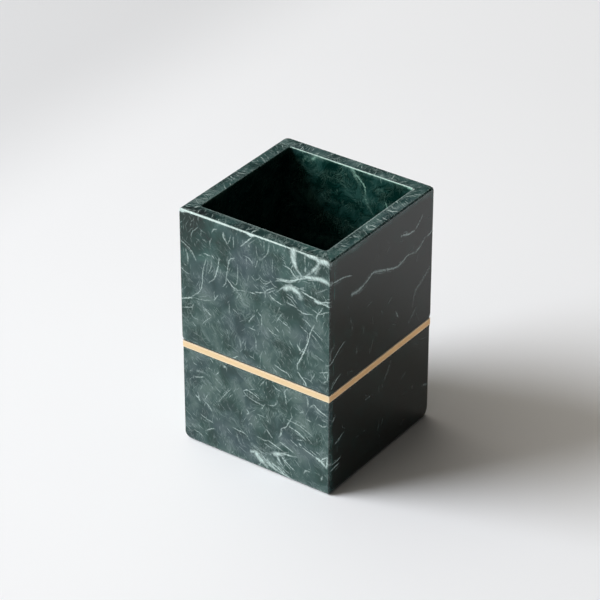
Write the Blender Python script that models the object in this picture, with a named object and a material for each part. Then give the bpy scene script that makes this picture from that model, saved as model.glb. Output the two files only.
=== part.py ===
"""Square pen holder of green marble slabs in two tiers, with a mitred brass band between them.

Units are metres and +Z is up. The origin is the centre of the footprint, on the face it rests on.
The front faces -Y. A tier's slab and the band's strip are each modelled once, as the front one, and
turned a quarter at a time about Z for the right, the back and the left.

Run with: blender --background --python part.py
"""

import math

import bmesh
import bpy
from mathutils import Matrix, Vector

# Cup
OUTER_SIDE = 0.0700  # across the outer faces
WALL_THICKNESS = 0.0060  # marble slab stock of the walls, and the depth of the brass strips
FLOOR_THICKNESS = 0.0060  # marble slab stock of the floor
LOWER_TIER_HEIGHT = 0.0423
BAND_HEIGHT = 0.0030  # brass strip
UPPER_TIER_HEIGHT = 0.0588

# Epoxy between any two bonded faces
GLUE_LINE = 0.0003

# Felt pad, in the pocket under the floor
FELT_THICKNESS = 0.0010
FELT_PROUD = 0.0003  # how far it stands below the walls' lower edges
FELT_MARGIN = 0.0010  # free of the walls all round
FELT_CORNER_RADIUS = 0.0030

# Eased arrises, as radii
RIM_OUTER_EASE = 0.0007
RIM_INNER_EASE = 0.0005
UPPER_FOOT_EASE = 0.0004  # the upper tier's lower outer arris, just above the brass
LOWER_HEAD_EASE = 0.0002  # the lower tier's upper outer arris, just below the brass
BASE_EASE = 0.0012  # the lower tier's lower outer arris
BRASS_EASE = 0.0001
FLOOR_EASE = 0.0003
UPRIGHT_CORNER_RADIUS = 0.0006  # the four outer corners of the cup

# Facets
EASE_FACETS = 3
UPRIGHT_CORNER_FACETS = 2
FELT_CORNER_FACETS = 6
SMOOTH_UNDER = math.radians(35)  # sharper edges than this stay sharp

# Worked out from the sizes above
HALF_SIDE = OUTER_SIDE / 2
HALF_WELL = HALF_SIDE - WALL_THICKNESS
MITRE_SETBACK = GLUE_LINE / math.sqrt(2)  # along a slab, so that two mitres stand one glue line apart
BAND_BASE = FELT_PROUD + LOWER_TIER_HEIGHT + GLUE_LINE
UPPER_TIER_BASE = BAND_BASE + BAND_HEIGHT + GLUE_LINE
FLOOR_BASE = FELT_THICKNESS + GLUE_LINE

SIDES = ("front", "right", "back", "left")
QUARTER_TURN = math.pi / 2

# Colours as linear red, green and blue
MARBLE_COLOUR = (0.022, 0.058, 0.047)
BRASS_COLOUR = (0.720, 0.500, 0.260)
FELT_COLOUR = (0.018, 0.022, 0.020)


def clear_scene():
    """Removes every object of the open scene."""
    for obj in list(bpy.data.objects):
        bpy.data.objects.remove(obj)


def make_material(name, colour, roughness, metallic=0.0):
    """A Principled material of one colour."""
    material = bpy.data.materials.new(name)
    material.use_nodes = True
    shader = material.node_tree.nodes["Principled BSDF"]
    shader.inputs["Base Color"].default_value = (*colour, 1.0)
    shader.inputs["Roughness"].default_value = roughness
    shader.inputs["Metallic"].default_value = metallic
    return material


def arc_steps(radius):
    """Distances from a slab's end at which the facets of an arris of this radius meet."""
    return [radius * (1 - math.cos(k / EASE_FACETS * QUARTER_TURN)) for k in range(EASE_FACETS + 1)]


def inset(distance, radius):
    """How far an arris of this radius draws a face in, at this distance from the slab's end."""
    if distance >= radius:
        return 0.0
    return radius - math.sqrt(radius**2 - (radius - distance) ** 2)


def ring_heights(height, foot_radii, head_radii):
    """Heights at which a slab with these arrises at its foot and its head needs a ring of points."""
    heights = {0.0, height}
    for radius in foot_radii:
        heights.update(arc_steps(radius))
    for radius in head_radii:
        heights.update(height - step for step in arc_steps(radius))
    return sorted(heights)


def mitred_plan(outer, inner):
    """Plan of the front slab between two half sides, anticlockwise from its left mitre.

    The upright corner is an arc about a point on the diagonal, cut off at the mitre face.
    """
    radius = UPRIGHT_CORNER_RADIUS
    centre = outer - radius
    start = -QUARTER_TURN
    end = -QUARTER_TURN / 2 - math.asin(min(1.0, GLUE_LINE / 2 / radius))
    angles = [start + (end - start) * k / UPRIGHT_CORNER_FACETS for k in range(UPRIGHT_CORNER_FACETS + 1)]
    right = [(centre + radius * math.cos(angle), -centre + radius * math.sin(angle)) for angle in angles]
    left = [(-x, y) for x, y in reversed(right)]
    inner_end = inner - MITRE_SETBACK
    return left + right + [(inner_end, -inner), (-inner_end, -inner)]


def rounded_square(half_side, radius):
    """Plan of a square with round corners, anticlockwise."""
    plan = []
    for corner in range(4):
        turn = corner * QUARTER_TURN
        centre = Matrix.Rotation(turn, 2) @ Vector((half_side - radius, radius - half_side))
        for k in range(FELT_CORNER_FACETS + 1):
            angle = turn - QUARTER_TURN + k / FELT_CORNER_FACETS * QUARTER_TURN
            plan.append((centre.x + radius * math.cos(angle), centre.y + radius * math.sin(angle)))
    return plan


def loft(name, rings):
    """Closed mesh through rings of (plan, height), given from the bottom up."""
    shape = bmesh.new()
    loops = [[shape.verts.new((x, y, z)) for x, y in plan] for plan, z in rings]
    for lower, upper in zip(loops, loops[1:]):
        for k in range(len(lower)):
            after = (k + 1) % len(lower)
            shape.faces.new((lower[k], lower[after], upper[after], upper[k]))
    shape.faces.new(list(reversed(loops[0])))
    shape.faces.new(loops[-1])
    mesh = bpy.data.meshes.new(name)
    shape.to_mesh(mesh)
    shape.free()
    mesh.shade_smooth()
    mesh.set_sharp_from_angle(angle=SMOOTH_UNDER)
    return mesh


def slab(name, height, foot_ease, head_ease, inner_head_ease=0.0):
    """Mitred slab of the front wall with its foot at z = 0 and its long arrises eased."""
    rings = []
    for z in ring_heights(height, (foot_ease,), (head_ease, inner_head_ease)):
        outer = HALF_SIDE - max(inset(z, foot_ease), inset(height - z, head_ease))
        inner = HALF_WELL + inset(height - z, inner_head_ease)
        rings.append((mitred_plan(outer, inner), z))
    return loft(name, rings)


def add_object(name, mesh, base, turns=0, parent=None):
    """Places a mesh at its height, turned about Z by quarter turns."""
    obj = bpy.data.objects.new(name, mesh)
    obj.location = (0, 0, base)
    obj.rotation_euler = (0, 0, turns * QUARTER_TURN)
    obj.parent = parent
    bpy.context.scene.collection.objects.link(obj)


def add_four_sides(name, mesh, base, parent):
    """Places the four sides of a tier or of the band, which share one mesh."""
    for turns, side in enumerate(SIDES):
        add_object(f"{name}_{side}", mesh, base, turns, parent)


def build_lower_tier(marble, parent):
    """The lower walls, which stand just clear of the table on the felt."""
    mesh = slab("lower_wall", LOWER_TIER_HEIGHT, BASE_EASE, LOWER_HEAD_EASE)
    mesh.materials.append(marble)
    add_four_sides("lower_wall", mesh, FELT_PROUD, parent)


def build_band(brass, parent):
    """The brass strips, flush with both faces of the walls."""
    mesh = slab("brass_strip", BAND_HEIGHT, BRASS_EASE, BRASS_EASE)
    mesh.materials.append(brass)
    add_four_sides("brass_strip", mesh, BAND_BASE, parent)


def build_upper_tier(marble, parent):
    """The upper walls, up to the rim."""
    mesh = slab("upper_wall", UPPER_TIER_HEIGHT, UPPER_FOOT_EASE, RIM_OUTER_EASE, RIM_INNER_EASE)
    mesh.materials.append(marble)
    add_four_sides("upper_wall", mesh, UPPER_TIER_BASE, parent)


def build_floor(marble, parent):
    """The floor slab, bonded between the lower walls."""
    rings = []
    for z in ring_heights(FLOOR_THICKNESS, (), (FLOOR_EASE,)):
        half = HALF_WELL - GLUE_LINE - inset(FLOOR_THICKNESS - z, FLOOR_EASE)
        rings.append(([(-half, -half), (half, -half), (half, half), (-half, half)], z))
    mesh = loft("floor_slab", rings)
    mesh.materials.append(marble)
    add_object("floor_slab", mesh, FLOOR_BASE, parent=parent)


def build_felt(felt, parent):
    """The felt pad under the floor, which the cup stands on."""
    plan = rounded_square(HALF_WELL - FELT_MARGIN, FELT_CORNER_RADIUS)
    mesh = loft("felt_base_pad", [(plan, 0.0), (plan, FELT_THICKNESS)])
    mesh.materials.append(felt)
    add_object("felt_base_pad", mesh, 0.0, parent=parent)


def main():
    """Builds the whole pen holder."""
    clear_scene()
    marble = make_material("green_marble", MARBLE_COLOUR, roughness=0.25)
    brass = make_material("brushed_brass", BRASS_COLOUR, roughness=0.35, metallic=1.0)
    felt = make_material("black_felt", FELT_COLOUR, roughness=0.95)
    pen_holder = bpy.data.objects.new("pen_holder", None)
    bpy.context.scene.collection.objects.link(pen_holder)
    build_lower_tier(marble, pen_holder)
    build_band(brass, pen_holder)
    build_upper_tier(marble, pen_holder)
    build_floor(marble, pen_holder)
    build_felt(felt, pen_holder)


main()
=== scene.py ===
"""Finish of the pen holder: two tiers of mitred green marble slabs, a brass band and a felt pad.

Units are metres and +Z is up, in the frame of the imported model. Each slab is worked out as the front
one, whose outer face looks along -Y, and is then turned to its side. The stone's figure is drawn on an
unrolled sheet, in millimetres: U runs round the cup from the middle of the front, and S runs up the
outer face from the table, over the rim and down the inner face.
"""

import logging
import math
from dataclasses import dataclass, field, replace
from enum import Enum
from functools import partial, reduce
from typing import Any, Callable, Optional, Sequence, Union

import bpy
import numpy as np
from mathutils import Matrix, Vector

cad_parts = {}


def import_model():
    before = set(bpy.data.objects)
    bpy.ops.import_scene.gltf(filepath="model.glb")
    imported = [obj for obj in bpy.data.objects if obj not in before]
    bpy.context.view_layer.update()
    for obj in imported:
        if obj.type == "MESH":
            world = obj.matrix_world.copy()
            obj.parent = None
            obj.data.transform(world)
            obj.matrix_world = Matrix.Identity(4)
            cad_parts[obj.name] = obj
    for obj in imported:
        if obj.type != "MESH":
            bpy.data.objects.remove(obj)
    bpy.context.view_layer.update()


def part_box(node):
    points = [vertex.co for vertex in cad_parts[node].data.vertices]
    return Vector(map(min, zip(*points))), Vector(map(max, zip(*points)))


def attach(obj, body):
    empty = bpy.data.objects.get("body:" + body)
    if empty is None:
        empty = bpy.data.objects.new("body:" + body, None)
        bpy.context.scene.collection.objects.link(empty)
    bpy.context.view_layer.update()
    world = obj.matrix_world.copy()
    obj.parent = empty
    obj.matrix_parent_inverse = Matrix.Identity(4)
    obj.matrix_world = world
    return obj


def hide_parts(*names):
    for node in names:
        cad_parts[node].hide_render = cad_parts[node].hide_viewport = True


LOG = logging.getLogger("pen_holder")
MM = 0.001
BODY = "root"
SHEET_MAP = "Unrolled"
LINE_PLACE_LAYER = "line_place"
LINE_TONE_LAYER = "line_tone"
SMEAR_LAYER = "smear"
# Holds the stone's beds, with the painted shade over the outer right face and down inside.
BED_LAYER = "bed"
ARRIS_LAYER = "arris"
SMOOTH_UNDER = math.radians(32.0)
FRONT_ENDS = 35.0  # U of the front's right end
RIM_STARTS = 105.0  # S where the outer face turns into the rim
WELL_STARTS = 111.0  # S where the rim turns down inside
ARRIS_WIDTH = 0.8 * MM  # how far the wear and the painted highlight of an arris reach over the faces beside it

Point = tuple[float, float]
Span = tuple[float, float]
Socket = bpy.types.NodeSocket
Feed = Union[Socket, float, Sequence[float]]
Adder = Callable[..., Any]


class Side(Enum):
    """The four sides, each with the quarter turns about Z that carry the front slab to it."""

    FRONT = 0
    RIGHT = 1
    BACK = 2
    LEFT = 3

    @property
    def label(self) -> str:
        """The side's name as the model's nodes have it."""
        return self.name.lower()

    @property
    def sheet_turns(self) -> int:
        """How many slab lengths along U the side lies from the front, with the left one before it."""
        return self.value if self is not Side.LEFT else -1

    def turn(self, points: np.ndarray) -> np.ndarray:
        """Carries points of the front slab to this side by whole quarter turns about Z.

        Args:
            points: Rows of x, y and z.

        Returns:
            The turned rows, exact to the last digit.
        """
        x, y, z = points.T
        for _ in range(self.value):
            x, y = -y, x
        return np.stack([x, y, z], axis=1)


class Tier(Enum):
    """The two tiers of marble, by their nodes' first word."""

    UPPER = "upper"
    LOWER = "lower"


def linear(colour: str) -> tuple[float, float, float, float]:
    """Turns an sRGB hex colour into the linear colour that a shader takes.

    Args:
        colour: Six hex digits after a hash sign.

    Returns:
        Red, green, blue and an alpha of 1.
    """
    parts = [int(colour[k:k + 2], 16) / 255 for k in (1, 3, 5)]
    red, green, blue = (c / 12.92 if c <= 0.04045 else ((c + 0.055) / 1.055) ** 2.4 for c in parts)
    return red, green, blue, 1.0


def add_node(tree: bpy.types.NodeTree, kind: str, *feeds: Union[Feed, dict[Any, Feed]],
             ramp: Sequence[tuple[float, Sequence[float]]] = (), **settings: Any) -> Any:
    """Adds a node with its settings and with what feeds its inputs.

    Args:
        tree: The node tree of a material or of the world.
        kind: The node's type, without its leading "ShaderNode".
        feeds: For its inputs from the first on, the sockets that are linked to them or their values,
            or one dict of these by the inputs' names or numbers.
        ramp: For a colour ramp, its stops as position and colour.
        settings: The node's own properties.

    Returns:
        The node's outputs.
    """
    node = tree.nodes.new("ShaderNode" + kind)
    for name, value in settings.items():
        setattr(node, name, value)
    if ramp:
        stops = node.color_ramp.elements
        while len(stops) < len(ramp):
            stops.new(1.0)
        for stop, (place, colour) in zip(stops, ramp):
            stop.position = place
            stop.color = colour
    by_input = feeds[0] if feeds and isinstance(feeds[0], dict) else dict(enumerate(feeds))
    for name, feed in by_input.items():
        if isinstance(feed, Socket):
            tree.links.new(feed, node.inputs[name])
        else:
            node.inputs[name].default_value = feed
    return node.outputs


def new_material(name: str) -> tuple[bpy.types.Material, Adder]:
    """Makes an empty material that uses nodes.

    Args:
        name: The finish it is named for.

    Returns:
        The material, and add_node for its tree.
    """
    material = bpy.data.materials.new(name)
    material.use_nodes = True
    material.node_tree.nodes.clear()
    return material, partial(add_node, material.node_tree)


@dataclass(frozen=True)
class Vein:
    """One vein where it meets the stone's surface, as a smooth line on the unrolled sheet; a few are painted
    highlights along arrises.

    Attributes:
        path: Points on the sheet that the line runs through, in millimetres.
        width: From the line's middle to where it fades out, in millimetres.
        tone: How pale it is, where 1 is full and more widens the full part.
        soft: Whether it is a cloudy smear and not a crisp line.
        taper: Its width at the last point over that at the first.
    """

    path: tuple[Point, ...]
    width: float
    tone: float
    soft: bool = False
    taper: float = 1.0

    STRAND_EVERY = 5.0
    STRAND_WIDTH = 0.34

    def line(self, steps: int, wander: float) -> np.ndarray:
        """Carries a Catmull-Rom curve through the path's points, and lets it wander a little.

        The curve is shifted up and down the sheet by two sines of the point's number, whose phase
        comes from the path's first point.

        Args:
            steps: Lengths between two of the path's points.
            wander: How far it strays, in millimetres.

        Returns:
            Points along the curve, as rows of U and S.
        """
        knots = np.array(self.path, float)
        if len(knots) == 2:
            curve = knots[0] + np.linspace(0, 1, steps + 1)[:, None] * (knots[1] - knots[0])
        else:
            ends = 2 * knots[[0, -1]] - knots[[1, -2]]
            k = np.vstack([ends[:1], knots, ends[1:]])
            t = np.linspace(0, 1, steps, endpoint=False)[None, :, None]
            a, b, c, d = k[:-3, None], k[1:-2, None], k[2:-1, None], k[3:, None]
            curve = 0.5 * (2 * b + (c - a) * t + (2 * a - 5 * b + 4 * c - d) * t**2
                           + (3 * b - a - 3 * c + d) * t**3)
            curve = np.vstack([curve.reshape(-1, 2), knots[-1:]])
        phase = 12.9 * knots[0, 0] + 78.2 * knots[0, 1]
        count = np.arange(len(curve))[:, None]
        stray = np.sin(2.1 * count + phase + (0, 1.3)) + np.sin(3.7 * count + 2 * phase + (2.1, 0))
        return curve + 0.6 * wander * stray

    def companions(self) -> list["Vein"]:
        """Draws the faint strands that run beside a long vein.

        Each follows a part of the vein's curve, half a millimetre to one and a half beside it, and
        drifts nearer or farther on the way.

        Returns:
            The strands.
        """
        knots = np.array(self.path, float)
        length = np.linalg.norm(np.diff(knots, axis=0), axis=1).sum()
        rng = np.random.default_rng(int(abs(10 * knots[0, 0]) + 1000 * abs(knots[0, 1])))
        line = self.line(6, 0.0)
        strands = []
        for _ in range(int(length / self.STRAND_EVERY)):
            first = rng.integers(0, max(1, len(line) - 6))
            part = line[first:first + rng.integers(5, 10):2]
            if len(part) < 3:
                continue
            run = part[-1] - part[0]
            normal = np.array([-run[1], run[0]]) / max(np.linalg.norm(run), 1e-6)
            side = rng.choice((-1.0, 1.0)) * rng.uniform(0.5, 1.5)
            drift = side * normal * np.linspace(1.0, rng.uniform(0.2, 1.9), len(part))[:, None]
            strand = part + drift + rng.normal(0, 0.12, part.shape)
            tone = min(self.tone, 1.0) * rng.uniform(0.3, 0.65)
            strands.append(Vein(tuple(map(tuple, strand)), self.STRAND_WIDTH, tone))
        return strands


def matched(veins: Sequence[Vein], about: Point, turned: bool = False) -> tuple[Vein, ...]:
    """Carries the front's veins to another side, as in slabs sawn from one block and opened like a book.

    Args:
        veins: The veins; one that runs past the front's right end is left out.
        about: Where the sheet is folded.
        turned: Whether the slab is turned end for end too.

    Returns:
        The veins on the other side.
    """
    def fold(u: float, s: float) -> Point:
        """Gives the place that a point of the front comes to."""
        return 2 * about[0] - u, 2 * about[1] - s if turned else s

    kept = [vein for vein in veins if max(u for u, _ in vein.path) < FRONT_ENDS + 0.3]
    return tuple(replace(vein, path=tuple(fold(u, s) for u, s in vein.path)) for vein in kept)


@dataclass(frozen=True)
class HairZone:
    """A rectangle of the sheet that is strewn with short hair veins.

    Attributes:
        left: Its least U.
        right: Its greatest U.
        low: Its least S.
        high: Its greatest S.
        per_area: Hairs on each square millimetre.
        leans: The two headings that they keep to, in degrees.
        spread: How far a heading strays, in degrees.
        length: Their usual length.
        tone: How pale the palest are.
        width: As a vein's.
        seed: Start of the random draws.
    """

    left: float
    right: float
    low: float
    high: float
    per_area: float
    leans: tuple[float, float]
    spread: float
    length: float
    tone: float
    width: float = 0.30
    seed: int = 1

    def strew(self) -> list[Vein]:
        """Draws the hairs: each starts at a random place and runs on at a steadily turning heading.

        The headings sway together from place to place, over some 15 mm, so that neighbours agree.
        Starts are kept where slow waves of the place run high, which gathers the hairs in clumps.
        Lengths and tones are skewed, so that most hairs are short and faint.

        Returns:
            The hairs.
        """
        rng = np.random.default_rng(self.seed)
        count = int((self.right - self.left) * (self.high - self.low) * self.per_area)
        start = rng.uniform((self.left, self.low), (self.right, self.high), (count, 2))
        phase = rng.uniform(0, 2 * math.pi, 6)
        clump = (np.sin(start[:, 0] / 3.1 + phase[4]) * np.sin(start[:, 1] / 3.7 + phase[5])
                 + np.sin(start @ (0.17, 0.21) + phase[0]))
        start = start[clump > rng.normal(-0.1, 0.8, count)]
        count = len(start)
        sway = np.sin(start[:, 0] / 7.3 + phase[0]) + np.sin(start[:, 1] / 6.1 + phase[1])
        choice = np.sin(start[:, 0] / 4.7 + phase[2]) * np.sin(start[:, 1] / 5.3 + phase[3])
        lean = np.where(choice + rng.normal(0, 0.4, count) < 0, *np.radians(self.leans))
        lean = lean + math.radians(self.spread) * (0.55 * sway + rng.normal(0, 0.6, count))
        length = self.length * (0.4 + rng.gamma(2.0, 0.36, count))
        width = self.width * rng.uniform(0.8, 1.25, count)
        tone = self.tone * (0.12 + rng.beta(1.0, 2.3, count))
        heading = lean[:, None] + rng.normal(0, 0.11, (count, 1)) * np.arange(3)
        step = length[:, None] / 3 * np.stack([np.cos(heading), np.sin(heading)])
        path = start[:, None] + np.concatenate(
            [np.zeros((count, 1, 2)), np.cumsum(np.moveaxis(step, 0, -1), axis=1)], axis=1)
        return [Vein(tuple(map(tuple, p)), w, t) for p, w, t in zip(path, width, tone)]


@dataclass(frozen=True)
class Bed:
    """A patch of the sheet where the stone's ground is darker, or more like slate. Two broad dark ones, over the
    outer right face and down inside, are painted shade.

    Attributes:
        centre: Its middle.
        reach: From the middle to its edge, along U and along S.
        depth: From -1 for nearly black to 1 for slate.
        squareness: 2 for an oval, and more towards a rectangle.
        fade: Share of the reach over which it fades out.
    """

    centre: Point
    reach: Point
    depth: float
    squareness: float = 2.0
    fade: float = 0.5

    def weigh(self, u: np.ndarray, s: np.ndarray) -> np.ndarray:
        """Works out how strongly the patch shows at points.

        It fades towards the edge of a superellipse round its middle, which two sines make wavy.

        Args:
            u: Places round the cup.
            s: Places up, over the rim and down.

        Returns:
            The weight at each point, from 0 to 1.
        """
        wave = 0.06 * np.sin(s / 1.7 + u / 4.1) + 0.05 * np.sin(u / 1.3 - s / 3.7)
        across = np.abs(u - self.centre[0]) / self.reach[0]
        up = np.abs(s - self.centre[1]) / self.reach[1]
        out = (across**self.squareness + up**self.squareness) ** (1 / self.squareness)
        inside = np.clip((1 - out + wave * self.fade) / self.fade, 0, 1)
        return inside * inside * (3 - 2 * inside)


@dataclass
class StoneFigure:
    """The figure of the marble over the whole unrolled sheet.

    Attributes:
        veins: The veins that have a place of their own, with painted highlights along some arrises among them.
        zones: Where short hair veins are strewn.
        beds: Darker and bluer patches of the ground, with painted shade over the outer right face and down
            inside.
        placed: The placed veins, each with its line's points.
        strewn: The same for their companions and the hairs.
    """

    veins: tuple[Vein, ...]
    zones: tuple[HairZone, ...]
    beds: tuple[Bed, ...]
    placed: list[tuple[Vein, np.ndarray]] = field(init=False)
    strewn: list[tuple[Vein, np.ndarray]] = field(init=False)

    LAYERS = 3  # as many as a vector attribute has numbers
    NOWHERE = 4.0  # a vein's place, in widths from its line, where there is none
    END_FADE = 0.6  # how far past its ends a crisp vein fades out, in millimetres

    def __post_init__(self) -> None:
        """Draws every line once: the placed veins, then their companions, then the hairs.

        Companions run beside each crisp vein, and beside each smear whose tone is from 0.8 to 1.8.
        """
        stranded = [vein for vein in self.veins if not vein.soft or 0.8 < vein.tone < 1.8]
        beside = [strand for vein in stranded for strand in vein.companions()]
        hairs = [hair for zone in self.zones for hair in zone.strew()]
        self.placed = [(vein, vein.line(4, 0.0 if vein.soft else 0.08)) for vein in self.veins]
        self.strewn = [(vein, vein.line(2, 0.05)) for vein in (*beside, *hairs)]

    def sample_veins(self, u: np.ndarray, s: np.ndarray, pitch: float) -> dict[str, np.ndarray]:
        """Works out the veins over a grid of the sheet.

        A crisp vein is kept as the signed distance from its line over its width, which stays exact
        between the grid's points, so it is stored for two steps more than its width on each side.
        Its tone falls to 35% towards its ends with the root of a sine. Veins that come near each
        other go to different layers, and a strewn one that finds no room is left out.

        Args:
            u: For each row and column, the place round the cup.
            s: For each row, the place up, over the rim and down, in rising order.
            pitch: The grid's longest step, in millimetres.

        Returns:
            For each point and layer the vein's place and tone, and the soft smear.
        """
        place = np.full((*u.shape, self.LAYERS), self.NOWHERE, np.float32)
        tone = np.zeros_like(place)
        taken = np.zeros(place.shape, bool)
        smear = np.zeros(u.shape, np.float32)
        for lines, is_placed in ((self.placed, True), (self.strewn, False)):
            for vein, line in lines:
                margin = vein.width * max(1.0, vein.taper) + (0.0 if vein.soft else 1.8 * pitch)
                rows, columns = self.window(u, s, line, margin)
                if not len(rows):
                    continue
                points = np.stack([u[rows, columns], s[rows]], axis=1)
                offset, share, beyond = self.offset(points, line)
                width = vein.width * (1 + (vein.taper - 1) * share)
                if vein.soft:
                    near = np.hypot(offset, beyond) / width
                    value = np.clip(1 - near, 0, 1) * vein.tone * np.sin(np.pi * np.clip(share, 0.38, 0.8))
                    smear[rows, columns] = np.maximum(smear[rows, columns], value)
                    continue
                kept = (np.abs(offset) < margin) & (beyond < self.END_FADE + 0.9 * pitch)
                rows, columns, width = rows[kept], columns[kept], width[kept]
                offset, share, beyond = offset[kept], share[kept], beyond[kept]
                if not len(rows):
                    continue
                crowding = taken[rows, columns].mean(axis=0)
                layer = int(crowding.argmin())
                if crowding[layer] > 0 and not is_placed:
                    continue
                free = ~taken[rows, columns, layer]
                rows, columns = rows[free], columns[free]
                fade = np.clip((margin - 0.9 * pitch - np.abs(offset)) / (0.4 * pitch), 0, 1)
                fade *= np.clip(1 - beyond / self.END_FADE, 0, 1)
                fade *= 0.35 + 0.65 * np.sin(np.pi * np.clip(share, 0, 1)) ** 0.5
                taken[rows, columns, layer] = True
                place[rows, columns, layer] = np.clip(offset / width, -self.NOWHERE, self.NOWHERE)[free]
                tone[rows, columns, layer] = vein.tone * fade[free]
        return {LINE_PLACE_LAYER: place, LINE_TONE_LAYER: tone, SMEAR_LAYER: smear}

    @staticmethod
    def window(u: np.ndarray, s: np.ndarray, line: np.ndarray,
               margin: float) -> tuple[np.ndarray, np.ndarray]:
        """Finds the grid's points in the box round a line.

        Args:
            u: The grid's places round the cup.
            s: Each row's place up, over the rim and down, in rising order.
            line: The line's points.
            margin: How far the box reaches past them.

        Returns:
            The points' row and column numbers.
        """
        low, high = line.min(axis=0) - margin, line.max(axis=0) + margin
        first, last = np.searchsorted(s, (low[1], high[1]))
        rows, columns = np.nonzero((u[first:last] > low[0]) & (u[first:last] < high[0]))
        return rows + first, columns

    def sample_beds(self, u: np.ndarray, s: np.ndarray) -> np.ndarray:
        """Adds up the patches over a grid of the sheet.

        Args:
            u: For each row and column, the place round the cup.
            s: For each row, the place up, over the rim and down.

        Returns:
            For each point a depth from -1 to 1.
        """
        depth = np.zeros(u.shape, np.float32)
        for bed in self.beds:
            depth += bed.depth * bed.weigh(u, s[:, None])
        return np.clip(depth, -1, 1)

    @staticmethod
    def offset(points: np.ndarray, line: np.ndarray) -> tuple[np.ndarray, np.ndarray, np.ndarray]:
        """Measures points against a line.

        Args:
            points: Rows of U and S.
            line: The line's points, in order.

        Returns:
            For each point its distance from the line, negative on the right of it, its share of the
            way along it, and how far it lies past either end.
        """
        start, run = line[:-1], np.diff(line, axis=0)
        length = np.maximum(np.linalg.norm(run, axis=1), 1e-6)
        away = points[:, None] - start[None]
        along = (away * run).sum(2) / length**2
        gap = np.linalg.norm(away - np.clip(along, 0, 1)[..., None] * run, axis=2)
        nearest = gap.argmin(axis=1)
        rows = np.arange(len(points))
        along, away, run = along[rows, nearest], away[rows, nearest], run[nearest]
        across = (run[:, 0] * away[:, 1] - run[:, 1] * away[:, 0]) / length[nearest]
        before = np.where(nearest == 0, np.maximum(-along, 0), 0)
        after = np.where(nearest == len(line) - 2, np.maximum(along - 1, 0), 0)
        beyond = (before + after) * length[nearest]
        distance = np.where(beyond > 0, np.abs(across), gap[rows, nearest])
        share = (nearest + np.clip(along, 0, 1)) / (len(line) - 1)
        return np.copysign(distance, across), share, beyond


@dataclass(frozen=True)
class Easing:
    """How a long arris is worked.

    Attributes:
        leg: How far it takes each face back.
        fullness: 0 for a flat facet, 1 for a round.
        nicks: Depth of the small chips along it.
    """

    leg: float
    fullness: float = 0.5
    nicks: float = 0.0


@dataclass(frozen=True)
class UprightCorner:
    """The rounding of an upright outer corner, which grows where the stone was knocked.

    Attributes:
        radius: Along most of the corner.
        foot_radius: At the slab's foot.
        foot_reach: Height over which the foot's rounding fades.
        head_radius: At the slab's head.
        head_reach: Height over which the head's rounding fades.
    """

    radius: float = 0.3 * MM
    foot_radius: float = 0.3 * MM
    foot_reach: float = 2.5 * MM
    head_radius: float = 0.4 * MM
    head_reach: float = 1.5 * MM

    def at(self, above_foot: np.ndarray, below_head: np.ndarray) -> np.ndarray:
        """The radius at heights, which falls from each end's with the square of the way left.

        Args:
            above_foot: Distances above the slab's foot.
            below_head: Distances below its head.

        Returns:
            The radius at each.
        """
        foot = np.clip(1 - above_foot / self.foot_reach, 0, 1) ** 2
        head = np.clip(1 - below_head / self.head_reach, 0, 1) ** 2
        return (self.radius + (self.foot_radius - self.radius) * foot
                + (self.head_radius - self.radius) * head)


def eased_section(corners: Sequence[Point], easings: Sequence[Easing],
                  pitches: Sequence[float]) -> tuple[np.ndarray, np.ndarray]:
    """Walks round a four-sided section whose corners are eased.

    Each side is cut into even steps. Each corner is a curve of six points from one face to the
    other: a mix of the straight facet and of the parabola that has the same two ends.

    Args:
        corners: Depth and height of each corner, in order.
        easings: How each corner is worked.
        pitches: Longest step on the side that follows each corner.

    Returns:
        The points, as rows of depth and height, and for each row how close it is to an arris.
    """
    points, closeness = [], []
    places = np.array(corners, float)
    count = len(places)
    share = np.linspace(0, 1, 6)[:, None]
    for k, (corner, easing) in enumerate(zip(places, easings)):
        back, ahead = places[k - 1] - corner, places[(k + 1) % count] - corner
        first = corner + back / np.linalg.norm(back) * easing.leg
        last = corner + ahead / np.linalg.norm(ahead) * easing.leg
        facet = first + share * (last - first)
        rounded = (1 - share) ** 2 * first + 2 * share * (1 - share) * corner + share**2 * last
        points.append(facet + easing.fullness * (rounded - facet))
        closeness.append(np.ones(len(share)))
        target = places[(k + 1) % count] - ahead / np.linalg.norm(ahead) * easings[(k + 1) % count].leg
        run = np.linalg.norm(target - last)
        steps = max(2, math.ceil(run / pitches[k]))
        t = np.arange(1, steps)[:, None] / steps
        points.append(last + t * (target - last))
        nearest = np.minimum(t[:, 0], 1 - t[:, 0]) * run
        closeness.append(np.clip(1 - nearest / ARRIS_WIDTH, 0, 1) ** 2)
    return np.vstack(points), np.concatenate(closeness)


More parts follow.
